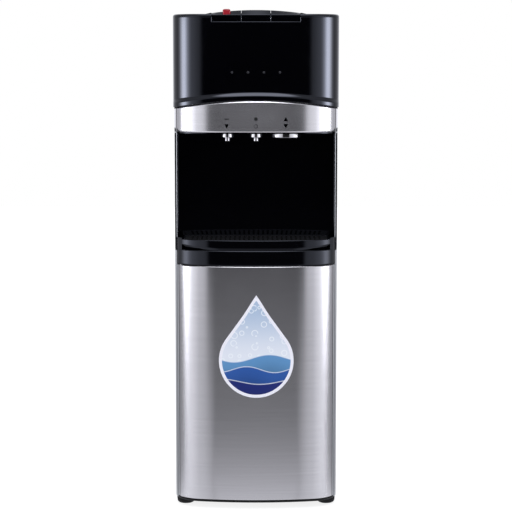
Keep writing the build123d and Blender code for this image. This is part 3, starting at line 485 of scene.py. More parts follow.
class Effect(Enum):
    """Surface effects that several finishes share, each built once as a node group."""

    BRUSHED = "brushed_lines"
    MOULDED = "moulded_skin"
    HANDLED = "handling_marks"

    def group(self) -> bpy.types.NodeTree:
        """Builds the effect's node group on first use.

        Returns:
            The group.
        """
        ready = bpy.data.node_groups.get(self.value)
        if ready:
            return ready
        made = bpy.data.node_groups.new(self.value, "ShaderNodeTree")
        for name, way, kind in (
            ("Place", "INPUT", "Vector"),
            ("Fineness", "INPUT", "Float"),
            ("Height", "OUTPUT", "Float"),
            ("Shade", "OUTPUT", "Float"),
        ):
            made.interface.new_socket(name, in_out=way, socket_type="NodeSocket" + kind)
        tree = Tree(made)
        start = made.nodes.new("NodeGroupInput")
        end = made.nodes.new("NodeGroupOutput")
        draw = {Effect.BRUSHED: draw_brushed, Effect.MOULDED: draw_moulded, Effect.HANDLED: draw_handled}
        height, shade = draw[self](tree, start.outputs["Place"], start.outputs["Fineness"])
        made.links.new(height, end.inputs["Height"])
        made.links.new(shade, end.inputs["Shade"])
        return made

    def put(self, tree: Tree, fineness: float) -> bpy.types.Node:
        """Places the effect in a material on the piece's own coordinates."""
        return tree.add("Group", {"Place": tree.place(), "Fineness": fineness}, node_tree=self.group())


Pair = tuple[bpy.types.NodeSocket, bpy.types.NodeSocket]
# Brush lines: noise per metre along X, Y and Z, and the share of the coarse layer
FINE_BRUSH = (14.0, 14.0, 1500.0)
COARSE_BRUSH = (5.0, 5.0, 330.0)
COARSE_SHARE = 0.45
# Moulded skin: noise per metre of its slow changes of tone
TONE_SCALE = 9.0
# Handling marks: the noise that bends them, how far it bends them, and the range of haze that shows
DRIFT_SCALE = 7.0
DRIFT = (0.12, 0.12, 0.12)
WIPED = (0.45, 0.75)


def draw_brushed(tree: Tree, place: Any, fineness: Any) -> Pair:
    """Level brush lines: noise stretched along X and Y and packed along Z, in a fine and a coarse layer.

    Args:
        tree: Tree to build in.
        place: Place on the piece.
        fineness: Scale of the fine layer.

    Returns:
        Height and shade of the lines.
    """
    fine, coarse = (tree.add("VectorMath", {0: place, 1: packing}, operation="MULTIPLY").outputs[0]
                    for packing in (FINE_BRUSH, COARSE_BRUSH))
    wide = tree.noise(coarse, 1.0)
    return tree.between(COARSE_SHARE, tree.noise(fine, fineness, 3.0), wide), wide


def draw_moulded(tree: Tree, place: Any, fineness: Any) -> Pair:
    """Fine pebbled skin of moulded plastic, with slow changes of tone."""
    return tree.noise(place, fineness, 3.0), tree.noise(place, TONE_SCALE, 4.0)


def draw_handled(tree: Tree, place: Any, fineness: Any) -> Pair:
    """Faint wiping haze: noise bent by a larger noise, and a sparse mask of it.

    Args:
        tree: Tree to build in.
        place: Place on the piece.
        fineness: Scale of the haze.

    Returns:
        The haze and its mask.
    """
    drift = tree.add("TexNoise", {"Vector": place, "Scale": DRIFT_SCALE, "Detail": 2.0}).outputs["Color"]
    bent = tree.add("VectorMath", {0: drift, 1: DRIFT, 2: place}, operation="MULTIPLY_ADD").outputs[0]
    haze = tree.noise(bent, fineness, 5.0)
    return haze, tree.remap(haze, *WIPED, 0.0, 1.0)


def linear(red: float, green: float, blue: float) -> Colour:
    """Screen colour as linear light: v / 12.92 where it is dark, and else ((v + 0.055) / 1.055)^2.4.

    Args:
        red: Screen value from 0 to 255.
        green: Screen value from 0 to 255.
        blue: Screen value from 0 to 255.

    Returns:
        Three linear values from 0 to 1.
    """
    screen = np.array([red, green, blue]) / 255.0
    light = np.where(screen <= 0.04045, screen / 12.92, ((screen + 0.055) / 1.055) ** 2.4)
    return tuple(float(value) for value in light)


@dataclass(frozen=True)
class Finish:
    """A finish: colour, gloss, and how far its effect shows in relief, tone and gloss.

    Where across isn't 0, highlights spread at a right angle to level brush lines.
    """

    slot: str
    colour: Colour
    roughness: float
    metallic: float = 0.0
    effect: Effect = Effect.MOULDED
    fineness: float = 900.0
    relief: float = 0.02 * MM
    tone: float = 0.12
    haze: float = 0.08
    specular: float = 0.5
    mirror_tint: Colour = (1.0, 1.0, 1.0)
    across: float = 0.0
    across_turn: float = 0.25
    wiping: float = 26.0

    def material(self) -> bpy.types.Material:
        """The finish as a material, built on first use."""
        name = "finish_" + self.slot
        return bpy.data.materials.get(name) or self.build(name)

    def build(self, name: str) -> bpy.types.Material:
        """Builds the shader: tone on the colour, haze on the gloss, relief through a bump.

        Args:
            name: Name of the new material.

        Returns:
            The material.
        """
        made = bpy.data.materials.new(name)
        made.use_nodes = True
        tree = Tree(made.node_tree)
        shader = made.node_tree.nodes["Principled BSDF"]
        texture = self.effect.put(tree, self.fineness)
        marks = Effect.HANDLED.put(tree, self.wiping)
        dark = tuple(value * (1.0 - self.tone) for value in self.colour)
        lit = tuple(min(1.0, value * (1.0 + self.tone)) for value in self.colour)
        links = made.node_tree.links
        links.new(tree.blend(texture.outputs["Shade"], dark, lit), shader.inputs["Base Color"])
        gloss = tree.math("MULTIPLY_ADD", marks.outputs["Shade"], self.haze, self.roughness)
        links.new(gloss, shader.inputs["Roughness"])
        shader.inputs["Metallic"].default_value = self.metallic
        shader.inputs["Specular IOR Level"].default_value = self.specular
        shader.inputs["Specular Tint"].default_value = (*self.mirror_tint, 1.0)
        if self.across:
            shader.inputs["Anisotropic"].default_value = self.across
            tangent = tree.add("Tangent", direction_type="RADIAL", axis="Z")
            links.new(tangent.outputs[0], shader.inputs["Tangent"])
            shader.inputs["Anisotropic Rotation"].default_value = self.across_turn
        bump = tree.add("Bump", {"Distance": self.relief, "Height": texture.outputs["Height"]})
        links.new(bump.outputs[0], shader.inputs["Normal"])
        return made


COOL = (1.0, 0.985, 1.02)
METAL_TONE = 0.06


def metal(slot: str, grey: float, roughness: float, **values: Any) -> Finish:
    """A bare metal, a little cool."""
    colour = tuple(grey * share for share in COOL)
    return Finish(slot, colour, roughness, metallic=1.0, tone=METAL_TONE, **values)


def brushed(slot: str, grey: float, roughness: float) -> Finish:
    """A metal brushed level, whose highlights spread upwards and downwards."""
    return metal(slot, grey, roughness, effect=Effect.BRUSHED, fineness=1.0, relief=0.008 * MM, haze=0.01,
                 across=1.0)


FINISHES: dict[str, Finish] = {made.slot: made for made in (
    Finish("base_plastic", linear(10, 10, 11), 0.4, specular=0.25),
    Finish("foot_rubber", linear(9, 9, 10), 0.6, fineness=500.0, relief=0.05 * MM, specular=0.2),
    Finish("silver_paint", linear(187, 189, 192), 0.38, metallic=0.7, fineness=2400.0, relief=0.006 * MM,
           tone=0.03, haze=0.02),
    Finish("rear_sheet", linear(44, 45, 47), 0.5, fineness=1500.0, relief=0.03 * MM),
    metal("screw_steel", 0.6, 0.34, fineness=3000.0),
    Finish("black_gloss", linear(2, 2, 4), 0.05, relief=0.0015 * MM, fineness=160.0, tone=0.2, haze=0.03,
           specular=0.48, mirror_tint=(0.8, 0.85, 1.0)),
    Finish("black_matte", linear(22, 22, 24), 0.42, relief=0.04 * MM, specular=0.3),
    Finish("liner_plastic", linear(58, 60, 63), 0.5, relief=0.04 * MM),
    Finish("white_plastic", linear(214, 214, 210), 0.42, tone=0.03),
    brushed("door_steel", 0.62, 0.13),
    brushed("band_silver", 0.76, 0.17),
    metal("chrome_trim", 0.48, 0.07, fineness=200.0, relief=0.001 * MM, haze=0.04),
    metal("deck_steel", 0.5, 0.42, fineness=120.0),
    metal("tank_steel", 0.62, 0.28, effect=Effect.BRUSHED, fineness=1.0),
    metal("pin_steel", 0.6, 0.25, fineness=2000.0),
    Finish("magnet_dark", linear(34, 34, 36), 0.6),
    Finish("compressor_paint", linear(26, 26, 28), 0.36, relief=0.05 * MM, fineness=260.0),
    metal("fin_aluminium", 0.72, 0.4, fineness=1200.0),
    Finish("copper_drier", (0.62, 0.27, 0.16), 0.3, metallic=1.0, tone=0.15),
    Finish("hose_silicone", linear(196, 203, 205), 0.36, tone=0.05),
    Finish("board_green", linear(24, 84, 52), 0.46, fineness=1600.0),
    Finish("lens_clear", linear(44, 45, 49), 0.22, relief=0.001 * MM),
    Finish("lock_red", linear(156, 22, 37), 0.32, fineness=1200.0, tone=0.06),
    Finish("pump_black", linear(23, 23, 25), 0.48),
)}


def settle(piece: bpy.types.Object, body: str, slot: str, *nodes: str) -> bpy.types.Object:
    """Dresses a new piece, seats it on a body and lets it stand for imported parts.

    Args:
        piece: The new object.
        body: Body that it moves with.
        slot: Finish by its slot name.
        nodes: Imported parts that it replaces.

    Returns:
        The same object.
    """
    piece.data.materials.clear()
    piece.data.materials.append(FINISHES[slot].material())
    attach(piece, body)
    if nodes:
        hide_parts(*nodes)
    log.info("%s rides on %s in %s", piece.name, body, slot)
    return piece


# Door


@dataclass(frozen=True)
class DropLabel:
    """Drop-shaped label on the door: a round foot that runs up into a straight-sided tip."""

    middle_x: float = 0.6 * MM
    middle_z: float = 322.5 * MM
    radius: float = 79.3 * MM
    half_tip_angle: float = 35.7
    tip_rise: float = 0.034
    tip_width: float = 0.16
    border: float = 6.4 * MM
    film: float = 0.25 * MM
    print_film: float = 0.2 * MM
    overlap: float = 0.1 * MM
    steps: int = 120
    rows: int = 9
    paper: Finish = Finish("label_paper", linear(243, 243, 250), 0.35, tone=0.02)

    @property
    def middle(self) -> Array:
        """Middle of the round foot, as x and z."""
        return np.array([self.middle_x, self.middle_z])

    def outline(self, inset: float) -> Array:
        """Outline moved inwards, as (x, z) points that start at the foot.

        With the angle a from the tip, the flank is the line radius / sin(a + b), where b is half of the
        tip's angle. It touches the circle of the foot where a + b is a right angle. The tip is drawn out a
        little, by the factor 1 + rise * exp(-(a / width)^2).

        Args:
            inset: Distance inwards in metres.

        Returns:
            An array of (steps, 2) points.
        """
        angle = np.linspace(-math.pi, math.pi, self.steps, endpoint=False)
        from_flank = np.abs(angle) + math.radians(self.half_tip_angle)
        reach = (self.radius - inset) / np.sin(np.minimum(from_flank, QUARTER))
        reach *= 1.0 + self.tip_rise * np.exp(-np.square(angle / self.tip_width))
        return self.middle + np.stack([reach * np.sin(angle), reach * np.cos(angle)], axis=-1)

    def build(self) -> None:
        """Makes the white border and the printed field as two thin closed films."""
        outer = self.outline(0.0)
        inner = self.outline(self.border)
        border = Shell("label_border").film_ring(outer, inner, self.film).piece()
        settle(border, "door", "white_plastic").data.materials[0] = self.paper.material()
        shares = np.linspace(0.0, 1.0, self.rows)[:, None, None]
        disc = self.middle + shares * (self.outline(self.border - self.overlap) - self.middle)
        films = np.concatenate([lay_on_bow(disc, self.print_film), lay_on_bow(disc[::-1], -SINK)])
        field = settle(Shell("label_print").grid(films, wrap_columns=True).piece(), "door", "white_plastic")
        field.data.materials[0] = WavePrint(self.middle_z).material()


@dataclass(frozen=True)
class Wave:
    """One printed wave: its colour, and its crest base + swell * sin(x / length + start)."""

    tint: Colour
    base: float
    swell: float
    length: float
    start: float

    def crest(self, tree: Tree, x: Any, level: float) -> bpy.types.NodeSocket:
        """Height of the crest over a level."""
        turn = tree.math("MULTIPLY_ADD", x, 1.0 / self.length, self.start)
        return tree.math("MULTIPLY_ADD", tree.math("SINE", turn), self.swell, level + self.base)


@dataclass(frozen=True)
class WavePrint:
    """Print on the label: a pale sky over three rolling waves, with a few rising bubbles.

    A bubble's sizes are shares of its cell, and its radius is the first value times chance plus the second.
    """

    level: float
    sky_top: Colour = linear(174, 195, 219)
    sky_low: Colour = linear(230, 235, 243)
    sky_height: float = 125 * MM
    foam: Colour = linear(243, 248, 252)
    foam_share: float = 0.75
    foam_depth: float = 2.6 * MM
    waves: tuple[Wave, ...] = (
        Wave(linear(96, 148, 196), 6 * MM, 8 * MM, 24 * MM, 0.4),
        Wave(linear(44, 88, 162), -18 * MM, 6.5 * MM, 19 * MM, 2.6),
        Wave(linear(26, 40, 112), -44 * MM, 5.5 * MM, 27 * MM, 4.4),
    )
    wave_edge: float = 0.6 * MM
    wave_depth: float = 60 * MM
    deep_share: float = 0.55
    bubbles_per_metre: float = 46.0
    bubble_scatter: float = 0.9
    bubble_radius: tuple[float, float] = (0.26, 0.04)
    bubble_ring: tuple[float, float] = (0.02, 0.06)
    bubble_share: float = 0.85
    roughness: float = 0.28
    haze: float = 0.08
    wiping: float = 30.0

    def material(self) -> bpy.types.Material:
        """Builds the print on the label's own X and Z, from the sky down to the nearest wave.

        Returns:
            The material.
        """
        made = bpy.data.materials.new("finish_label_print")
        made.use_nodes = True
        tree = Tree(made.node_tree)
        axes = tree.add("SeparateXYZ", {0: tree.place()}).outputs
        x, z = axes["X"], axes["Z"]
        sky_share = tree.remap(z, self.level, self.level + self.sky_height, 0.0, 1.0)
        colour = tree.blend(sky_share, self.sky_low, self.sky_top)
        colour = tree.blend(self.bubbles(tree, x, z), colour, self.foam)
        for wave in self.waves:
            depth = tree.math("SUBTRACT", wave.crest(tree, x, self.level), z)
            edge = tree.remap(depth, -self.wave_edge, self.wave_edge, 0.0, 1.0)
            deep = tuple(value * self.deep_share for value in wave.tint)
            body = tree.blend(tree.remap(depth, 0.0, self.wave_depth, 0.0, 1.0), wave.tint, deep)
            rim = tree.remap(depth, self.wave_edge, self.foam_depth, self.foam_share, 0.0)
            body = tree.blend(rim, body, self.foam)
            colour = tree.blend(edge, colour, body)
        shader = made.node_tree.nodes["Principled BSDF"]
        made.node_tree.links.new(colour, shader.inputs["Base Color"])
        marks = Effect.HANDLED.put(tree, self.wiping)
        gloss = tree.math("MULTIPLY_ADD", marks.outputs["Shade"], self.haze, self.roughness)
        made.node_tree.links.new(gloss, shader.inputs["Roughness"])
        return made

    def bubbles(self, tree: Tree, x: Any, z: Any) -> bpy.types.NodeSocket:
        """Mask of thin rings round the middles of scattered cells, of mixed sizes.

        Args:
            tree: Tree to build in.
            x: Place across the label.
            z: Height on it.

        Returns:
            The mask.
        """
        flat = tree.add("CombineXYZ", {"X": x, "Y": z}).outputs[0]
        spread = {"Vector": flat, "Scale": self.bubbles_per_metre, "Randomness": self.bubble_scatter}
        cells = tree.add("TexVoronoi", spread, voronoi_dimensions="2D")
        size = tree.add("SeparateXYZ", {0: cells.outputs["Color"]}).outputs["X"]
        radius = tree.math("MULTIPLY_ADD", size, *self.bubble_radius)
        away = tree.math("ABSOLUTE", tree.math("SUBTRACT", cells.outputs["Distance"], radius))
        return tree.remap(away, *self.bubble_ring, self.bubble_share, 0.0)


@dataclass(frozen=True)
class Door:
    """Bowed brushed skin with rounded upper and lower folds, and a silver edge at each side."""

    face_half: float = 163.6 * MM
    edge_gap: float = 1.3 * MM
    fold: float = 1.8 * MM
    sheet: float = 1.0 * MM
    flange: float = 12.0 * MM

    def profile(self, low: float, high: float) -> Array:
        """Section of the skin: a tall C with rounded folds, one sheet thick.

        Args:
            low: Height of its foot.
            high: Height of its top.

        Returns:
            An array of (n, 2) insets and heights.
        """
        fold, sheet, flange = self.fold, self.sheet, self.flange
        inner = fold - sheet
        return chain(
            (flange, low),
            arc((fold, low + fold), fold, 270, 180),
            (0.0, low + fold + HOLD),
            (0.0, high - fold - HOLD),
            arc((fold, high - fold), fold, 180, 90),
            (flange, high),
            (flange, high - sheet),
            arc((fold, high - fold), inner, 90, 180),
            arc((fold, low + fold), inner, 180, 270),
            (flange, low + sheet),
        )

    def build(self) -> None:
        """Makes the brushed face, a silver edge at each side of it, and the label."""
        low, high = span("door_skin")
        end = BODY.heading_at_depth(high[1])
        face_end = BODY.heading_at_width(self.face_half)
        edge_start = BODY.heading_at_width(self.face_half + self.edge_gap)
        profile = self.profile(low[2], high[2])
        path, normals = BODY.arcs(BODY.headings(-face_end, face_end, per_front=64))
        skin = Shell("door_face").bar(carry(path, normals, profile)).piece()
        settle(skin, "door", "door_steel", "door_skin")
        path, normals = BODY.arcs(np.linspace(edge_start, end, 8))
        right = carry(path, normals, profile)
        edges = Shell("door_edges").bar(right).bar(right * (-1.0, 1.0, 1.0)).piece()
        settle(edges, "door", "silver_paint")
        DropLabel().build()


# Band


@dataclass(frozen=True)
class Band:
    """Arched silver band with two bevels, a seam and a raised lower corner near each end, and marks."""

    wall: float = 4.5 * MM
    upper_bevel: float = 3.8 * MM
    lower_bevel: float = 2.4 * MM
    lower_depth: float = 1.6 * MM
    bevel_depth: float = 3.2 * MM
    edge: float = 0.45 * MM
    corner: float = 15 * MM
    corner_share: float = 0.97
    corner_rise: float = 8 * MM
    corner_x: float = 158 * MM
    filler_depth: float = 2.0 * MM
    filler_x: float = 161 * MM
    seam_x: float = 167.2 * MM
    seam: float = 1.1 * MM
    print_lift: float = 0.12 * MM
    upper_row: float = 834 * MM
    lower_row: float = 819 * MM
    mark_places: tuple[float, float, float] = (-61.3 * MM, -0.3 * MM, 62.2 * MM)
    half_arrow: float = 4.59 * MM
    half_bar: float = 1.122 * MM
    dot: float = 3.825 * MM
    ring: tuple[float, float] = (4.335 * MM, 3.06 * MM)

    def foot(self, headings: Array, low: float) -> Array:
        """Height of the lower edge, which rises in a rounded corner near each end.

        It is low + h * (1 - sqrt(1 - t^2)), where h is the corner's height and t is the way along the band
        past the corner's start, as a share of the corner's length that stays just under 1.

        Args:
            headings: Headings along the band.
            low: Height of the lower edge between the corners.

        Returns:
            The height at each heading.
        """
        run = np.abs(BODY.run(headings)) - BODY.run(BODY.heading_at_width(self.corner_x))
        turn = np.clip(run / self.corner, 0.0, self.corner_share)
        return low + self.corner_rise * (1.0 - np.sqrt(1.0 - turn**2))

    def strip(self, shell: Shell, start: float, end: float, low: float, arch: Arch) -> None:
        """Adds the band between two headings: a bevelled plate whose top follows the arch.

        Args:
            shell: Shell to add to.
            start: First heading.
            end: Last heading.
            low: Height of the lower edge.
            arch: The upper edge.
        """
        headings = BODY.headings(start, end, per_corner=40, per_front=64)
        path, normals = BODY.arcs(headings)
        top = arch.height(path[:, 0])
        foot = self.foot(headings, low)
        profile = changing(
            (self.lower_depth, foot),
            (0.0, foot + self.lower_bevel),
            (0.0, top - self.upper_bevel),
            (self.bevel_depth, top),
            (self.wall, top),
            (self.wall, foot),
        )
        shell.bar(carry(path, normals, profile))

    def build(self) -> None:
        """Makes the front plate, the two end plates, the fillers under their corners and the marks."""
        low, high = span("trim_band")
        arch = Arch(high[2])
        end = BODY.heading_at_depth(high[1])
        inner = BODY.heading_at_width(self.seam_x)
        outer = BODY.heading_at_width(self.seam_x + self.seam)
        plate = Shell("band_plate")
        self.strip(plate, -inner, inner, low[2], arch)
        made = settle(plate.piece(), "cabinet", "band_silver", "trim_band")
        soften(made, self.edge, angle=15.0)
        ends = Shell("band_ends")
        self.strip(ends, -end, -outer, low[2], arch)
        self.strip(ends, outer, end, low[2], arch)
        settle(ends.piece(), "cabinet", "band_silver")
        self.fillers(end, low[2])
        self.marks()

    def fillers(self, end: float, low: float) -> None:
        """Closes the space under the two raised corners with black wedges set back from the band's face.

        Args:
            end: Heading of the band's end.
            low: Height of its lower edge between the corners.
        """
        begin = BODY.heading_at_width(self.filler_x)
        shell = Shell("band_fillers")
        for start, finish in ((-end, -begin), (begin, end)):
            headings = BODY.headings(start, finish, per_corner=20)
            foot = self.foot(headings, low)
            base = np.full_like(foot, low)
            near, far = self.filler_depth, self.wall
            profile = changing((near, base), (near, foot), (far, foot), (far, base))
            shell.bar(carry(*BODY.arcs(headings), profile))
        settle(shell.piece(), "cabinet", "black_gloss")

    def marks(self) -> None:
        """Prints plain level marks over the outlets: arrows, a bar, a dot and a ring."""
        left, middle, right = self.mark_places
        lower, upper = self.lower_row, self.upper_row
        arrow = self.half_arrow * np.array([[-1.0, 1.0], [1.0, 1.0], [0.0, -1.0]])
        bar = SQUARE * (self.half_arrow, self.half_bar)
        dot, outer, inner = (circle(radius) for radius in (self.dot, *self.ring))
        dark = Shell("band_marks")
        for mark, place in ((arrow, (left, lower)), (-arrow, (right, upper)), (arrow, (right, lower))):
            dark.film(mark + place, self.print_lift)
        settle(dark.piece(), "cabinet", "black_gloss")
        faint = Shell("band_marks_faint")
        faint.film(bar + (left, upper), self.print_lift)
        faint.film(dot + (middle, upper), self.print_lift)
        faint.film_ring(outer + (middle, lower), inner + (middle, lower), self.print_lift)
        settle(faint.piece(), "cabinet", "black_matte")


# Head and keys


@dataclass(frozen=True)
class Head:
    """Black head: walls with a flared lower lip, a rounded lid, a rim round the keys and four lights."""

    wall: float = 3.0 * MM
    gap: float = 0.3 * MM
    lip: float = 8.0 * MM
    flare: float = 8.5 * MM
    overhang: float = 5.4 * MM
    sill: float = 1036 * MM
    half_keys: float = 92.5 * MM
    lid_round: float = 5.0 * MM
    lid_rim: float = 9.0 * MM
    half_rim: float = 104 * MM
    wall_edge: float = 1.1 * MM
    rim_edge: float = 0.8 * MM
    flare_steps: int = 10
    wall_shares: tuple[float, ...] = (0.33, 0.66, 1.0)
    light_radius: float = 2.5 * MM
    light_depth: float = 2.0 * MM
    light_proud: float = 0.35 * MM
    light_pitch: float = 33.2 * MM
    light_count: int = 4

    def build(self) -> None:
        """Makes the walls, the lid, the rim and the lights."""
        self.walls()
        self.lid()
        self.key_rim()
        self.lights()

    def walls(self) -> None:
        """Walls from the arch to the lid, with a notch for the keys.

        A row of points is a shift towards the front and a height over the arch: the lip stands straight, the
        flare eases back over its height, shift = overhang * (1 - t^2 * (3 - 2 * t)), and the wall stands
        straight again. Columns at the notch are doubled, so that its ends are square. The rear ends don't
        shift.
        """
        _, high = span("head_shell")
        arch = Arch(span("trim_band")[1][2])
        notch = HEAD.heading_at_width(self.half_keys)
        headings = HEAD.headings(-QUARTER, QUARTER, per_corner=20, per_front=64)
        path, normals = HEAD.arcs(np.sort(np.concatenate([headings, [-notch, -notch, notch, notch]])))
        rear = (HEAD.half_width, high[1])
        path = chain((-rear[0], rear[1]), path, rear)
        normals = chain((-1.0, 0.0), normals, (1.0, 0.0))
        x = path[:, 0]
        foot = arch.height(x) + self.gap
        bend = foot + self.lip + self.flare
        top = np.where(np.abs(x) < self.half_keys + NEAR, self.sill, high[2])
        ends = np.flatnonzero(np.abs(np.abs(x) - self.half_keys) < NEAR)
        top[[ends[0], ends[-1]]] = high[2]
        reach = np.full_like(x, self.overhang)
        reach[[0, -1]] = 0.0
        shares = np.linspace(0.0, 1.0, self.flare_steps + 1)[1:]
        eased = 1.0 - shares**2 * (3.0 - 2.0 * shares)
        rows = [(1.0, foot), (1.0, foot + self.lip - HOLD), (1.0, foot + self.lip)]
        rows += [(shift, foot + self.lip + self.flare * share) for shift, share in zip(eased, shares)]
        rows += [(0.0, bend + HOLD)]
        rows += [(0.0, bend + (self.sill - bend) * share) for share in self.wall_shares]
        rows += [(0.0, top)]
        grid = [np.column_stack([x, path[:, 1] - reach * shift, height]) for shift, height in rows]
        inside = path - self.wall * normals
        sill = np.full_like(x, self.sill)
        grid += [np.column_stack([inside, height]) for height in (top, sill, bend, foot)]
        made = Shell("head_walls").bar(np.stack(grid, axis=1)).piece()
        settle(made, "cabinet", "black_gloss", "head_shell")
        soften(made, self.wall_edge)

    def lid(self) -> None:
        """Lid: a rounded rim carried from one end of the notch round the rear to the other, and a plate."""
        low, high = span("top_cover")
        path, normals = whole(*HEAD.wrap(HEAD.heading_at_width(self.half_keys), high[1]))
        bottom, top, bend = low[2], high[2], self.lid_round
        profile = chain(
            (0.0, bottom),
            arc((bend, top - bend), bend, 180, 90, 8),
            (self.lid_rim, top),
            (self.lid_rim, bottom),
        )
        shell = Shell("head_lid").bar(carry(path, normals, profile))
        rear = span("cold_key")[1][1] + self.gap
        inner = path - self.lid_rim * normals
        shell.prism(chain(inner, (-self.half_keys, rear), (self.half_keys, rear)), bottom, top)
        settle(shell.piece(), "cabinet", "black_gloss", "top_cover")

    def key_rim(self) -> None:
        """Low U-shaped rim round the sides and rear of the keys, sloping down outwards on every side."""
        low, high = span("key_bezel")
        inner, outer = self.half_keys + self.gap, self.half_rim
        key_rear = span("cold_key")[1][1] + self.gap
        fronts = [HEAD.front_at(x) + self.lid_round + self.gap for x in (inner, outer)]
        side = np.array([[inner, fronts[0]], [outer, fronts[1]], [outer, high[1]], [inner, key_rear]])
        bottom, foot, top = low[2], low[2] + self.gap, high[2]
        corners = np.column_stack([side, (top, foot, foot, top)])
        ground = np.column_stack([side, np.full(4, bottom)])
        right = np.stack([ground[[0, 1]], ground[[3, 2]], corners[[3, 2]], corners[[0, 1]]])
        shell = Shell("key_rim")
        for flip in (1.0, -1.0):
            block = right * (flip, 1.0, 1.0)
            shell.grid(block, wrap_rows=True).face(block[:, 0]).face(block[:, 1])
        back = np.stack([ground[3], corners[3], corners[2], ground[2]])
        shell.bar(np.stack([back * (-1.0, 1.0, 1.0), back]))
        soften(settle(shell.piece(), "cabinet", "black_gloss", "key_bezel"), self.rim_edge, angle=30.0)

    def lights(self) -> None:
        """Domed lenses: each a flat cap, radius * cos by proud * sin, turned about the front direction."""
        low, high = span("indicator_lenses")
        z = (low[2] + high[2]) / 2
        shell = Shell("head_lights")
        for step in range(self.light_count):
            x = (step - (self.light_count - 1) / 2) * self.light_pitch
            bulge = arc((0.0, 0.0), 1.0, 0, 90, 6) * (self.light_radius, self.light_proud)
            profile = chain((0.0, -self.light_depth), (self.light_radius, -self.light_depth), bulge)
            cap = turned(profile, (x, z), 20)
            shell.loop(np.stack([cap[..., 0], HEAD.front_at(x) - cap[..., 2], cap[..., 1]], axis=-1))
        settle(shell.piece(), "cabinet", "lens_clear", "indicator_lenses")


@dataclass(frozen=True)
class Keys:
    """Three push keys under one shallow dome, and the red lock that slides on the left one."""

    recess: float = 3.6 * MM
    land: float = 0.9 * MM
    wall: float = 3.0 * MM
    front_edge: float = 1050 * MM
    bevel: float = 11.0 * MM
    crown: float = 1060 * MM
    dome_radius: float = 716 * MM
    rear_round: float = 1.5 * MM
    under: float = 1046 * MM
    edge: float = 0.5 * MM
    clearance: float = 0.3 * MM
    lock_travel: float = 6.0 * MM
    columns: int = 17
    lock_edge: float = 2.2 * MM
    ridge: float = 0.6 * MM
    half_ridge: float = 0.6 * MM
    ridge_edge: float = 0.3 * MM
    ridge_count: int = 3
    ridge_inset: tuple[float, float] = (3.0 * MM, 3.4 * MM)

    def build(self) -> None:
        """Makes each key on its own body, then the lock."""
        for name in ("hot_key", "cold_key", "ice_key"):
            self.key(name)
        self.lock()

    def key(self, name: str) -> None:
        """One key: for each x, a closed section in depth and height.

        The top follows min(dome, front edge + slope * depth), where dome = crown - radius +
        sqrt(radius^2 - x^2). The left key's section drops to a floor between the ends of the lock's slot.

        Args:
            name: The key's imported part, which is also its body.
        """
        low, high = span(name)
        lock_low, lock_high = span("child_lock")
        x = np.linspace(low[0], high[0], self.columns)
        inside = np.zeros(len(x), bool)
        slot = np.array([lock_low[0] - self.clearance, lock_high[0] + self.clearance])
        if low[0] < slot[0] < high[0]:
            x = np.sort(np.concatenate([x, slot, slot]))
            inside = np.zeros(len(x), bool)
            inside[np.searchsorted(x, slot[0], "right") - 1:np.searchsorted(x, slot[1], "left") + 1] = True
        front = HEAD.front_at(x) + self.recess
        dome = self.crown - self.dome_radius + np.sqrt(self.dome_radius**2 - x**2)
        slope = (dome - self.front_edge) / self.bevel
        rear = np.full_like(x, high[1])
        start = np.maximum(lock_low[1] - self.clearance, front + self.land)
        end = np.full_like(x, lock_high[1] + self.lock_travel + self.clearance)
        start_z = np.minimum(dome, self.front_edge + slope * (start - front))
        floor = np.full_like(x, lock_low[2])
        level = np.ones_like(x)
        section = (
            (front, low[2] * level),
            (front, self.front_edge * level),
            (start, start_z),
            (start, np.where(inside, floor, start_z)),
            (np.where(inside, end - self.wall, front + self.bevel), np.where(inside, floor, dome)),
            (end, np.where(inside, floor, dome)),
            (end, dome),
            (rear - self.rear_round, dome),
            (rear, dome - self.rear_round),
            (rear, self.under * level),
            (front + self.wall, self.under * level),
            (front + self.wall, low[2] * level),
        )
        grid = np.stack([np.stack([x, y, z], axis=-1) for y, z in section], axis=1)
        made = settle(Shell(name + "_cap").bar(grid).piece(), name, "black_gloss", name)
        soften(made, self.edge, segments=2, angle=25.0)

    def lock(self) -> None:
        """Lock tab: a rounded block with ridges across its top."""
        low, high = span("child_lock")
        middle, half = (low + high)[:2] / 2, (high - low)[:2] / 2
        top = high[2] - self.ridge
        tab = Shell("lock_tab").prism(middle + half * SQUARE, low[2], top).piece()
        soften(settle(tab, "child_lock", "lock_red", "child_lock"), self.lock_edge, segments=5)
        ridges = Shell("lock_ridges")
        beside, before = self.ridge_inset
        for y in np.linspace(low[1] + before, high[1] - before, self.ridge_count):
            outline = (middle[0], y) + SQUARE * (half[0] - beside, self.half_ridge)
            ridges.prism(outline, top - self.ridge, high[2])
        soften(settle(ridges.piece(), "child_lock", "lock_red"), self.ridge_edge, segments=2)


# Niche, tray and trim


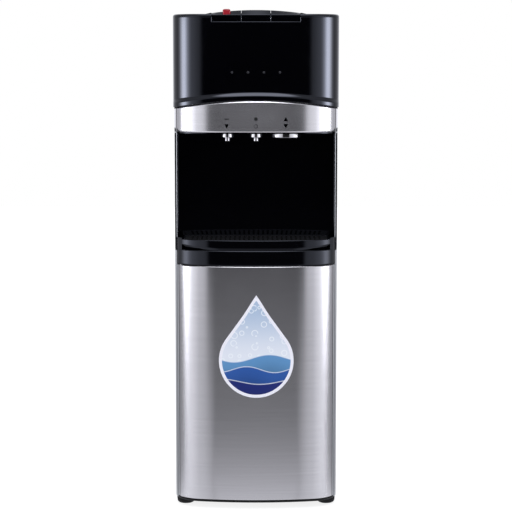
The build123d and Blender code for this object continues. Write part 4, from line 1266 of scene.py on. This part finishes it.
@dataclass(frozen=True)
class Niche:
    """Glossy recess with rounded rear corners, two chrome taps and the oval mouth of the ice chute."""

    inset: float = 4.0 * MM
    wall: float = 2.5 * MM
    corner: float = 1.5 * MM
    ceiling: float = 3.0 * MM
    ceiling_inset: float = 5.0 * MM
    front: float = -132 * MM
    taps: tuple[float, ...] = (-61 * MM, 0.0)
    outlet_y: float = -120 * MM
    collar: float = 12.8 * MM
    collar_edge: float = 1.4 * MM
    tip: float = 5.8 * MM
    tip_edge: float = 0.7 * MM
    tip_length: float = 7.5 * MM
    bore: float = 3.6 * MM
    mouth_wall: float = 3.0 * MM

    def build(self) -> None:
        """Makes the liner, the taps and the chute's mouth."""
        self.liner()
        self.outlets()
        self.chute()

    def liner(self) -> None:
        """U-shaped wall carried round the recess, and the ceiling over it."""
        low, high = span("niche_liner")
        rear = high[1]
        side, back = BODY.half_width - self.inset, rear - self.wall
        turn = arc((0.0, 0.0), 1.0, 0, 90, 8)
        bend = np.array([side, back]) - self.corner + self.corner * turn
        half = chain((side, self.front), bend, (0.0, back))
        path, normals = whole(half, chain((-1.0, 0.0), -turn, (0.0, -1.0)))
        roof = high[2] - self.ceiling
        profile = np.array([[0.0, low[2]], [0.0, roof], [self.wall, roof], [self.wall, low[2]]])
        shell = Shell("niche_walls").bar(carry(path, normals, profile))
        points, outward = BODY.arcs(BODY.headings(-QUARTER, QUARTER))
        front = points - self.ceiling_inset * outward
        shell.prism(chain((front[0, 0], rear), front, (front[-1, 0], rear)), roof, high[2])
        settle(shell.piece(), "cabinet", "black_gloss", "niche_liner")

    def outlets(self) -> None:
        """Taps: a stepped collar and tip turned about the vertical, hollow inside."""
        low, high = span("tap_nozzles")
        step, wide, narrow = low[2] + self.tip_length, self.collar_edge, self.tip_edge
        profile = chain(
            (self.bore, high[2]),
            (self.collar, high[2]),
            arc((self.collar - wide, step + wide), wide, 0, -90),
            (self.tip, step),
            arc((self.tip - narrow, low[2] + narrow), narrow, 0, -90),
            (self.bore, low[2]),
        )
        shell = Shell("tap_spouts")
        for x in self.taps:
            shell.loop(turned(profile, (x, self.outlet_y)))
        settle(shell.piece(), "cabinet", "chrome_trim", "tap_nozzles")

    def chute(self) -> None:
        """Mouth of the chute: an oval ring with a rounded lower lip."""
        low, high = span("ice_chute_ring")
        wall = self.mouth_wall
        lip = arc((-wall / 2, low[2] + wall / 2), wall / 2, 0, -180, 10)
        section = chain((0.0, high[2]), lip, (-wall, high[2]))
        ring = turned(section, (low + high) / 2, 64, reach=(high - low) / 2)
        settle(Shell("chute_mouth").loop(ring).piece(), "cabinet", "chrome_trim", "ice_chute_ring")


@dataclass(frozen=True)
class Tray:
    """Pull-out drip tray: a bowed front whose foot rises at both ends, a round rim, a ledge and a basin."""

    rim: float = 1.5 * MM
    wall: float = 5.0 * MM
    ledge: float = 5.0 * MM
    seat: float = 4.3 * MM
    floor: float = 3.0 * MM
    chamfer: tuple[float, float] = (2.0 * MM, 5.0 * MM)
    undercut: float = 8.0 * MM
    rise: float = 9.5 * MM
    rise_from: float = 80 * MM
    rise_power: float = 1.3
    steps: int = 72

    def outline(self, half: float, rear: float, inset: float) -> Array:
        """Plan of the tray moved inwards: the body's bow cut by its two sides and its straight rear.

        Args:
            half: Half of the tray's width.
            rear: Depth of its rear edge.
            inset: Distance inwards.

        Returns:
            An array of (steps + 2, 2) points.
        """
        front = BowPlan(BODY.half_width - inset, BODY.front_y + inset, BODY.front_radius - inset,
                        BODY.corner_radius - inset)
        end = front.heading_at_width(half - inset)
        points, _ = front.arcs(np.linspace(-end, end, self.steps))
        side = half - inset
        return chain(points, (side, rear - inset), (-side, rear - inset))

    def ring(self, half: float, rear: float, inset: float, height: float, share: float) -> Array:
        """One row of the tray: an outline at a height, with a share of the rise towards its ends.

        Args:
            half: Half of the tray's width.
            rear: Depth of its rear edge.
            inset: Distance inwards.
            height: Height in the middle.
            share: Share of the rise.

        Returns:
            An array of (steps + 2, 3) points.
        """
        flat = self.outline(half, rear, inset)
        way = np.clip((np.abs(flat[:, 0]) - self.rise_from) / (half - self.rise_from), 0.0, 1.0)
        return np.column_stack([flat, height + self.rise * way**self.rise_power * share])

    def build(self) -> None:
        """Makes the tray by stacking its outlines, one row for each inset and height.

        Past a width the front's rows are drawn up towards the rim, by rise * t^power at the foot and nothing
        at the top, where t is the share of the way to the tray's end. An undercut closes them to the flat
        bottom.
        """
        low, high = span("drip_tray")
        half, rear, top = high[0], high[1], high[2]
        bottom, seat = low[2], top - self.seat
        inner = self.wall + self.ledge
        deep, tall = self.chamfer
        front = chain(
            (deep, bottom),
            (0.0, bottom + tall),
            (0.0, bottom + tall + HOLD),
            (0.0, top - self.rim - HOLD),
            arc((self.rim, top - self.rim), self.rim, 180, 90),
        )
        basin = chain(
            arc((self.wall - self.rim, top - self.rim), self.rim, 90, 0),
            (self.wall, seat),
            (inner, seat),
            (inner, bottom + self.floor + self.rim),
            (inner + self.rim, bottom + self.floor),
        )
        rows = [(self.undercut, bottom, 0.0)]
        rows += [(inset, height, (top - height) / (top - bottom)) for inset, height in front]
        rows += [(inset, height, 0.0) for inset, height in basin]
        shell = Shell("tray_body").bar(np.stack([self.ring(half, rear, *row) for row in rows]))
        settle(shell.piece(), "drip_tray", "black_gloss", "drip_tray")


@dataclass(frozen=True)
class LowerTrim:
    """Black trim over the door, with the tray's shelf and a cheek at each end."""

    edge: float = 2.0 * MM
    gap: float = 0.3 * MM
    depth: float = 30 * MM
    overlap: float = 1.0 * MM
    shelf: float = 3.0 * MM
    shelf_top: float = 557 * MM
    shelf_drop: float = 0.1 * MM
    shelf_half: float = 171.5 * MM
    cheek_inner: float = 157.6 * MM
    cheek_edge: float = 1.5 * MM

    def build(self) -> None:
        """Makes the front, the cheeks and the wide shelf behind the front."""
        low, high = span("lower_trim")
        end = BODY.heading_at_depth(span("side_panel_left")[0][1] - self.gap)
        path, normals = BODY.arcs(BODY.headings(-end, end, per_front=64))
        base, top, edge = low[2], self.shelf_top, self.edge
        profile = chain(
            arc((edge, base + edge), edge, 270, 180),
            (0.0, base + edge + HOLD),
            (0.0, top - edge - HOLD),
            arc((edge, top - edge), edge, 180, 90),
            (self.depth, top),
            (self.depth, top - self.shelf),
            (self.shelf, top - self.shelf),
            (self.shelf, base),
        )
        front = Shell("trim_front").bar(carry(path, normals, profile))
        settle(front.piece(), "cabinet", "black_gloss", "lower_trim")
        self.cheeks(end, high[2])
        inner = path - (self.depth - self.overlap) * normals
        keep = inner[np.abs(inner[:, 0]) < BODY.half_width - self.depth]
        wide = np.array([[self.shelf_half, path[-1, 1]], [self.shelf_half, high[1]]])
        outline = chain(keep, wide, mirrored(wide))
        shelf = Shell("trim_shelf").prism(outline, top - self.shelf, top - self.shelf_drop)
        settle(shelf.piece(), "cabinet", "black_gloss")

    def cheeks(self, end: float, top: float) -> None:
        """Makes the two cheeks: blocks that follow the body's corners.

        Args:
            end: Heading where they end.
            top: Height of their tops.
        """
        start = BODY.heading_at_width(self.cheek_inner)
        points, _ = BODY.arcs(np.linspace(start, end, 12))
        right = chain(points, (self.cheek_inner, points[-1, 1]))
        shell = Shell("trim_cheeks")
        for outline in (right, mirrored(right)):
            shell.prism(outline, self.shelf_top - self.overlap, top)
        soften(settle(shell.piece(), "cabinet", "black_gloss"), self.cheek_edge, segments=4)


# Sides and base


@dataclass(frozen=True)
class Sides:
    """Silver side panels: bent sheets from the door's edge round the corner to the rear."""

    sheet: float = 1.2 * MM
    step_z: float = 805.7 * MM
    step_y: float = -113.7 * MM
    columns: int = 8

    def build(self) -> None:
        """Makes both panels, cut back above the niche where the band lies.

        A panel is the body's plan from the door's edge to the rear, one sheet thick. Its upper edge steps
        down in front of the band's rear end, where two columns of points lie at the same place.
        """
        low, high = span("side_panel_right")
        start = BODY.heading_at_depth(low[1])
        step = BODY.heading_at_depth(self.step_y)
        headings = np.concatenate([np.linspace(start, step, self.columns), np.linspace(step, QUARTER, 4)])
        path, normals = BODY.arcs(headings)
        path, normals = chain(path, (BODY.half_width, high[1])), chain(normals, (1.0, 0.0))
        top = np.where(np.arange(len(path)) < self.columns, self.step_z, high[2])
        levels = (np.full_like(top, low[2]), np.full_like(top, self.step_z), top)
        outer, inner = ([(inset, level) for level in levels] for inset in (0.0, self.sheet))
        right = carry(path, normals, changing(*outer, *inner[::-1]))
        for name, flip in (("side_panel_right", 1.0), ("side_panel_left", -1.0)):
            shell = Shell(name.replace("_panel", "_sheet")).bar(right * (flip, 1.0, 1.0))
            settle(shell.piece(), "cabinet", "silver_paint", name)


@dataclass(frozen=True)
class Base:
    """Black base with a softened edge, on four bowl-shaped feet."""

    inset: float = 1.5 * MM
    edge: float = 1.2 * MM
    foot_x: float = 152 * MM
    foot_front: float = -116 * MM
    foot_rear: float = 140 * MM
    foot_top: float = 20 * MM
    foot_taper: tuple[float, float] = (0.5 * MM, 4.0 * MM)
    foot_sole: float = 19 * MM
    foot_bend: float = 7.0 * MM

    def build(self) -> None:
        """Makes the base and the feet."""
        low, high = span("base_pan")
        path, normals = whole(*BODY.wrap(0.0, high[1] + self.inset))
        outline = path - self.inset * normals
        shell = Shell("base_plate").prism(outline[:-1], low[2], high[2])
        soften(settle(shell.piece(), "cabinet", "base_plastic", "base_pan"), self.edge)
        self.feet()

    def feet(self) -> None:
        """Feet: a bowl with a rounded sole, turned about the vertical."""
        low, high = span("base_feet")
        bend = self.foot_bend
        narrower, lower = self.foot_taper
        profile = chain(
            (0.0, high[2]),
            (self.foot_top, high[2]),
            (self.foot_top - narrower, high[2] - lower),
            arc((self.foot_sole - bend, low[2] + bend), bend, -10, -90, 8),
            (0.0, low[2]),
        )
        shell = Shell("round_feet")
        for x in (-self.foot_x, self.foot_x):
            for y in (self.foot_front, self.foot_rear):
                shell.grid(turned(profile, (x, y)), wrap_rows=True)
        settle(shell.piece(), "cabinet", "foot_rubber", "base_feet")


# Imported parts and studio


def dress(frame: dict[str, Any]) -> None:
    """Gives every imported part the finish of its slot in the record.
    """
    slots = {row["node"]: row["material_slot"] for row in frame["record"]["subparts"]}
    for name, node in frame["nodes"].items():
        node.data.materials.clear()
        node.data.materials.append(FINISHES[slots[name]].material())
    log.info("dressed %d packed parts", len(slots))


@dataclass(frozen=True)
class Studio:
    """White floor, light that grows from a dark front towards both sides, and the camera.

    Stops are pairs of degrees from straight ahead and strength. A rise is a range of a direction's z, and
    the panel's edge and end are ranges of |x| / z and of y. Sizes and distances of the floor are in metres.
    """

    around: Stops = (
        (20.0, 0.01), (21.2, 0.72), (24.0, 0.92), (29.0, 1.12), (37.5, 1.33), (50.0, 1.45), (62.0, 1.25),
        (75.0, 0.85), (88.0, 0.52), (100.0, 0.5), (130.0, 0.55), (152.0, 0.95), (180.0, 1.1))
    bars: Stops = (
        (38.0, 0.0), (46.0, 0.75), (55.0, 3.6), (61.0, 7.6), (69.0, 13.2), (79.0, 12.6), (86.0, 7.6),
        (92.0, 3.9), (99.0, 0.9), (110.0, 0.0))
    bar_rise: tuple[float, float, float, float] = (-0.052, -0.034, 0.02, 0.036)
    tint: Colour = (0.975, 0.985, 1.05)
    floor_near: Stops = (
        (18.0, 0.22), (22.0, 0.55), (26.0, 0.72), (34.0, 0.86), (45.0, 0.96), (58.0, 0.92), (70.0, 0.68),
        (80.0, 0.5), (91.0, 0.4), (110.0, 0.36), (180.0, 0.5))
    strength_unit: float = 20.0
    front_rise: tuple[float, float, float] = (0.035, 0.25, 0.45)
    roof_rise: tuple[float, float] = (0.3, 0.5)
    panel_rise: tuple[float, float] = (0.56, 0.74)
    panel_edge: tuple[float, float] = (0.2, 0.3)
    panel_end: tuple[float, float] = (-0.1, 0.2)
    panel: float = 4.3
    panel_rear: float = 0.15
    least_rise: float = 0.05
    overhead: float = 0.6
    floor_size: float = 14.0
    floor_shade: float = 0.27
    floor_glow: float = 0.84
    front_floor: tuple[float, float, float] = (0.82, 0.72, 0.02)
    front_edge: float = 0.18
    front_turn: tuple[float, float] = (0.35, 0.7)
    far_floor: tuple[float, float] = (3.4, 4.3)
    far_bars: float = 0.22
    camera_place: tuple[float, float, float] = (0.0, -3.773, 0.976)
    pitch: float = 6.813
    lens: float = 120.86
    sensor: float = 36.0
    sight: float = 60.0

    def build(self) -> None:
        """Makes the floor, the light and the camera."""
        self.floor()
        self.light()
        self.camera()
        bpy.context.scene.view_settings.view_transform = "Standard"

    def floor(self) -> None:
        """Lays a wide white floor at height 0.

        The camera sees it white with the object's shadow. To every other ray it glows with painted light,
        which the object mirrors and is lit by: dim in front, near * exp(-(distance - edge) / fade) + far,
        brighter towards both sides, and taking on the light round the object as it gets farther away.
        """
        corners = np.column_stack([SQUARE * self.floor_size / 2, np.zeros(len(SQUARE))])
        plane = Shell("floor").face(corners).piece()
        made = bpy.data.materials.new("studio_floor")
        made.use_nodes = True
        made.node_tree.nodes.clear()
        tree = Tree(made.node_tree)
        place = tree.place()
        axes = tree.add("SeparateXYZ", {0: place}).outputs
        near, fade, far = self.front_floor
        away = tree.add("VectorMath", {0: place}, operation="LENGTH").outputs["Value"]
        past_edge = tree.math("SUBTRACT", away, self.front_edge)
        front = tree.math("EXPONENT", tree.math("DIVIDE", past_edge, -fade))
        front = tree.math("MULTIPLY_ADD", front, near, far)
        ahead = tree.remap(self.turn(tree, axes), *self.front_turn, 1.0, 0.0)
        front = tree.math("MULTIPLY", front, ahead)
        beside = self.ramp(tree, axes, self.floor_near)
        beyond = tree.math("MULTIPLY_ADD", self.ramp(tree, axes, self.bars), self.far_bars,
                           self.ramp(tree, axes, self.around))
        sides = tree.between(tree.remap(away, *self.far_floor, 0.0, 1.0), beside, beyond)
        strength = tree.math("MAXIMUM", front, sides)
        # Painted light on the floor: a glow, dim in front and brighter towards both sides, that the object
        # mirrors and is lit by
        painted_floor_glow = tree.add("Emission", {"Color": (*self.tint, 1.0), "Strength": strength})
        shaded = tree.add("BsdfDiffuse", {"Color": (self.floor_shade,) * 3 + (1.0,)})
        glow = tree.add("Emission", {"Color": WHITE, "Strength": self.floor_glow})
        white = tree.add("AddShader", {0: shaded.outputs[0], 1: glow.outputs[0]})
        tree.add("OutputMaterial", {"Surface": self.seen(tree, painted_floor_glow, white)})
        made.cycles.emission_sampling = "NONE"
        plane.data.materials.append(made)

    def light(self) -> None:
        """Lights the object by direction: a ramp over the angle from the front, and a long panel overhead.

        With the direction (x, y, z), the angle from the front is atan2(|x|, -y). A strong bar stands at each
        side near the horizon, and straight ahead the light grows slowly with z. Higher up comes a dim roof
        with a bright panel at small |x| / z, weaker behind. What the camera sees directly is plain white.
        """
        world = bpy.data.worlds.new("studio_light")
        bpy.context.scene.world = world
        world.use_nodes = True
        world.node_tree.nodes.clear()
        tree = Tree(world.node_tree)
        axes = tree.add("SeparateXYZ", {0: tree.add("TexCoord").outputs["Generated"]}).outputs
        window = tree.math("MULTIPLY", tree.remap(axes["Z"], *self.bar_rise[:2], 0.0, 1.0),
                           tree.remap(axes["Z"], *self.bar_rise[2:], 1.0, 0.0))
        sides = tree.math("MULTIPLY_ADD", self.ramp(tree, axes, self.bars), window,
                          self.ramp(tree, axes, self.around))
        start, end, most = self.front_rise
        ahead = tree.remap(axes["Z"], start, end, 0.0, most)
        around = tree.math("MAXIMUM", sides, ahead)
        panel = tree.remap(axes["Z"], *self.panel_rise, most, self.panel)
        panel = tree.math("MULTIPLY", panel, tree.remap(axes["Y"], *self.panel_end, 1.0, self.panel_rear))
        rise = tree.math("MAXIMUM", axes["Z"], self.least_rise)
        lean = tree.math("DIVIDE", tree.math("ABSOLUTE", axes["X"]), rise)
        inside = tree.remap(lean, *self.panel_edge, 1.0, 0.0)
        roof = tree.math("MAXIMUM", tree.math("MULTIPLY", panel, inside), self.overhead)
        strength = tree.between(tree.remap(axes["Z"], *self.roof_rise, 0.0, 1.0), around, roof)
        lights = tree.add("Background", {"Color": (*self.tint, 1.0), "Strength": strength})
        white = tree.add("Background", {"Color": WHITE, "Strength": 1.0})
        tree.add("OutputWorld", {"Surface": self.seen(tree, lights, white)})

    def seen(self, tree: Tree, mirrored_shader: Any, direct_shader: Any) -> bpy.types.NodeSocket:
        """Shader that the camera sees in one way, and the object mirrors in another.

        Args:
            tree: Tree to build in.
            mirrored_shader: Node for what is mirrored.
            direct_shader: Node for what the camera sees.

        Returns:
            The mixed shader.
        """
        path = tree.add("LightPath").outputs["Is Camera Ray"]
        shaders = {0: path, 1: mirrored_shader.outputs[0], 2: direct_shader.outputs[0]}
        return tree.add("MixShader", shaders).outputs[0]

    def turn(self, tree: Tree, axes: Any) -> bpy.types.NodeSocket:
        """Angle of a place or direction from straight ahead, in radians."""
        ahead = tree.math("MULTIPLY", axes["Y"], -1.0)
        return tree.math("ARCTAN2", tree.math("ABSOLUTE", axes["X"]), ahead)

    def ramp(self, tree: Tree, axes: Any, stops: Stops) -> bpy.types.NodeSocket:
        """Strength by the angle from straight ahead, with straight lines between the stops.

        Args:
            tree: Tree to build in.
            axes: Outputs of a separated place or direction.
            stops: Pairs of degrees and strength, in order.

        Returns:
            The strength.
        """
        ramp = tree.add("ValToRGB", {"Fac": tree.math("DIVIDE", self.turn(tree, axes), math.pi)})
        elements = ramp.color_ramp.elements
        while len(elements) < len(stops):
            elements.new(0.5)
        for element, (degrees, strength) in zip(elements, stops):
            element.position = degrees / 180.0
            element.color = (strength / self.strength_unit,) * 3 + (1.0,)
        return tree.math("MULTIPLY", ramp.outputs["Color"], self.strength_unit)

    def camera(self) -> None:
        """Places the camera a little above the niche, tipped down."""
        made = bpy.data.cameras.new("camera")
        made.sensor_width = self.sensor
        made.lens = self.lens
        made.clip_end = self.sight
        eye = bpy.data.objects.new("camera", made)
        eye.location = self.camera_place
        eye.rotation_euler = (math.radians(90.0 - self.pitch), 0.0, 0.0)
        bpy.context.scene.collection.objects.link(eye)
        bpy.context.scene.camera = eye


def main() -> None:
    """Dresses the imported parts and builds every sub-assembly."""
    logging.basicConfig(level=logging.INFO, format="%(message)s")
    dress(frame)
    for assembly in (Door, Band, Head, Keys, Niche, Tray, LowerTrim, Sides, Base, Studio):
        assembly().build()
    bpy.context.view_layer.update()


if __name__ == "__main__":
    main()
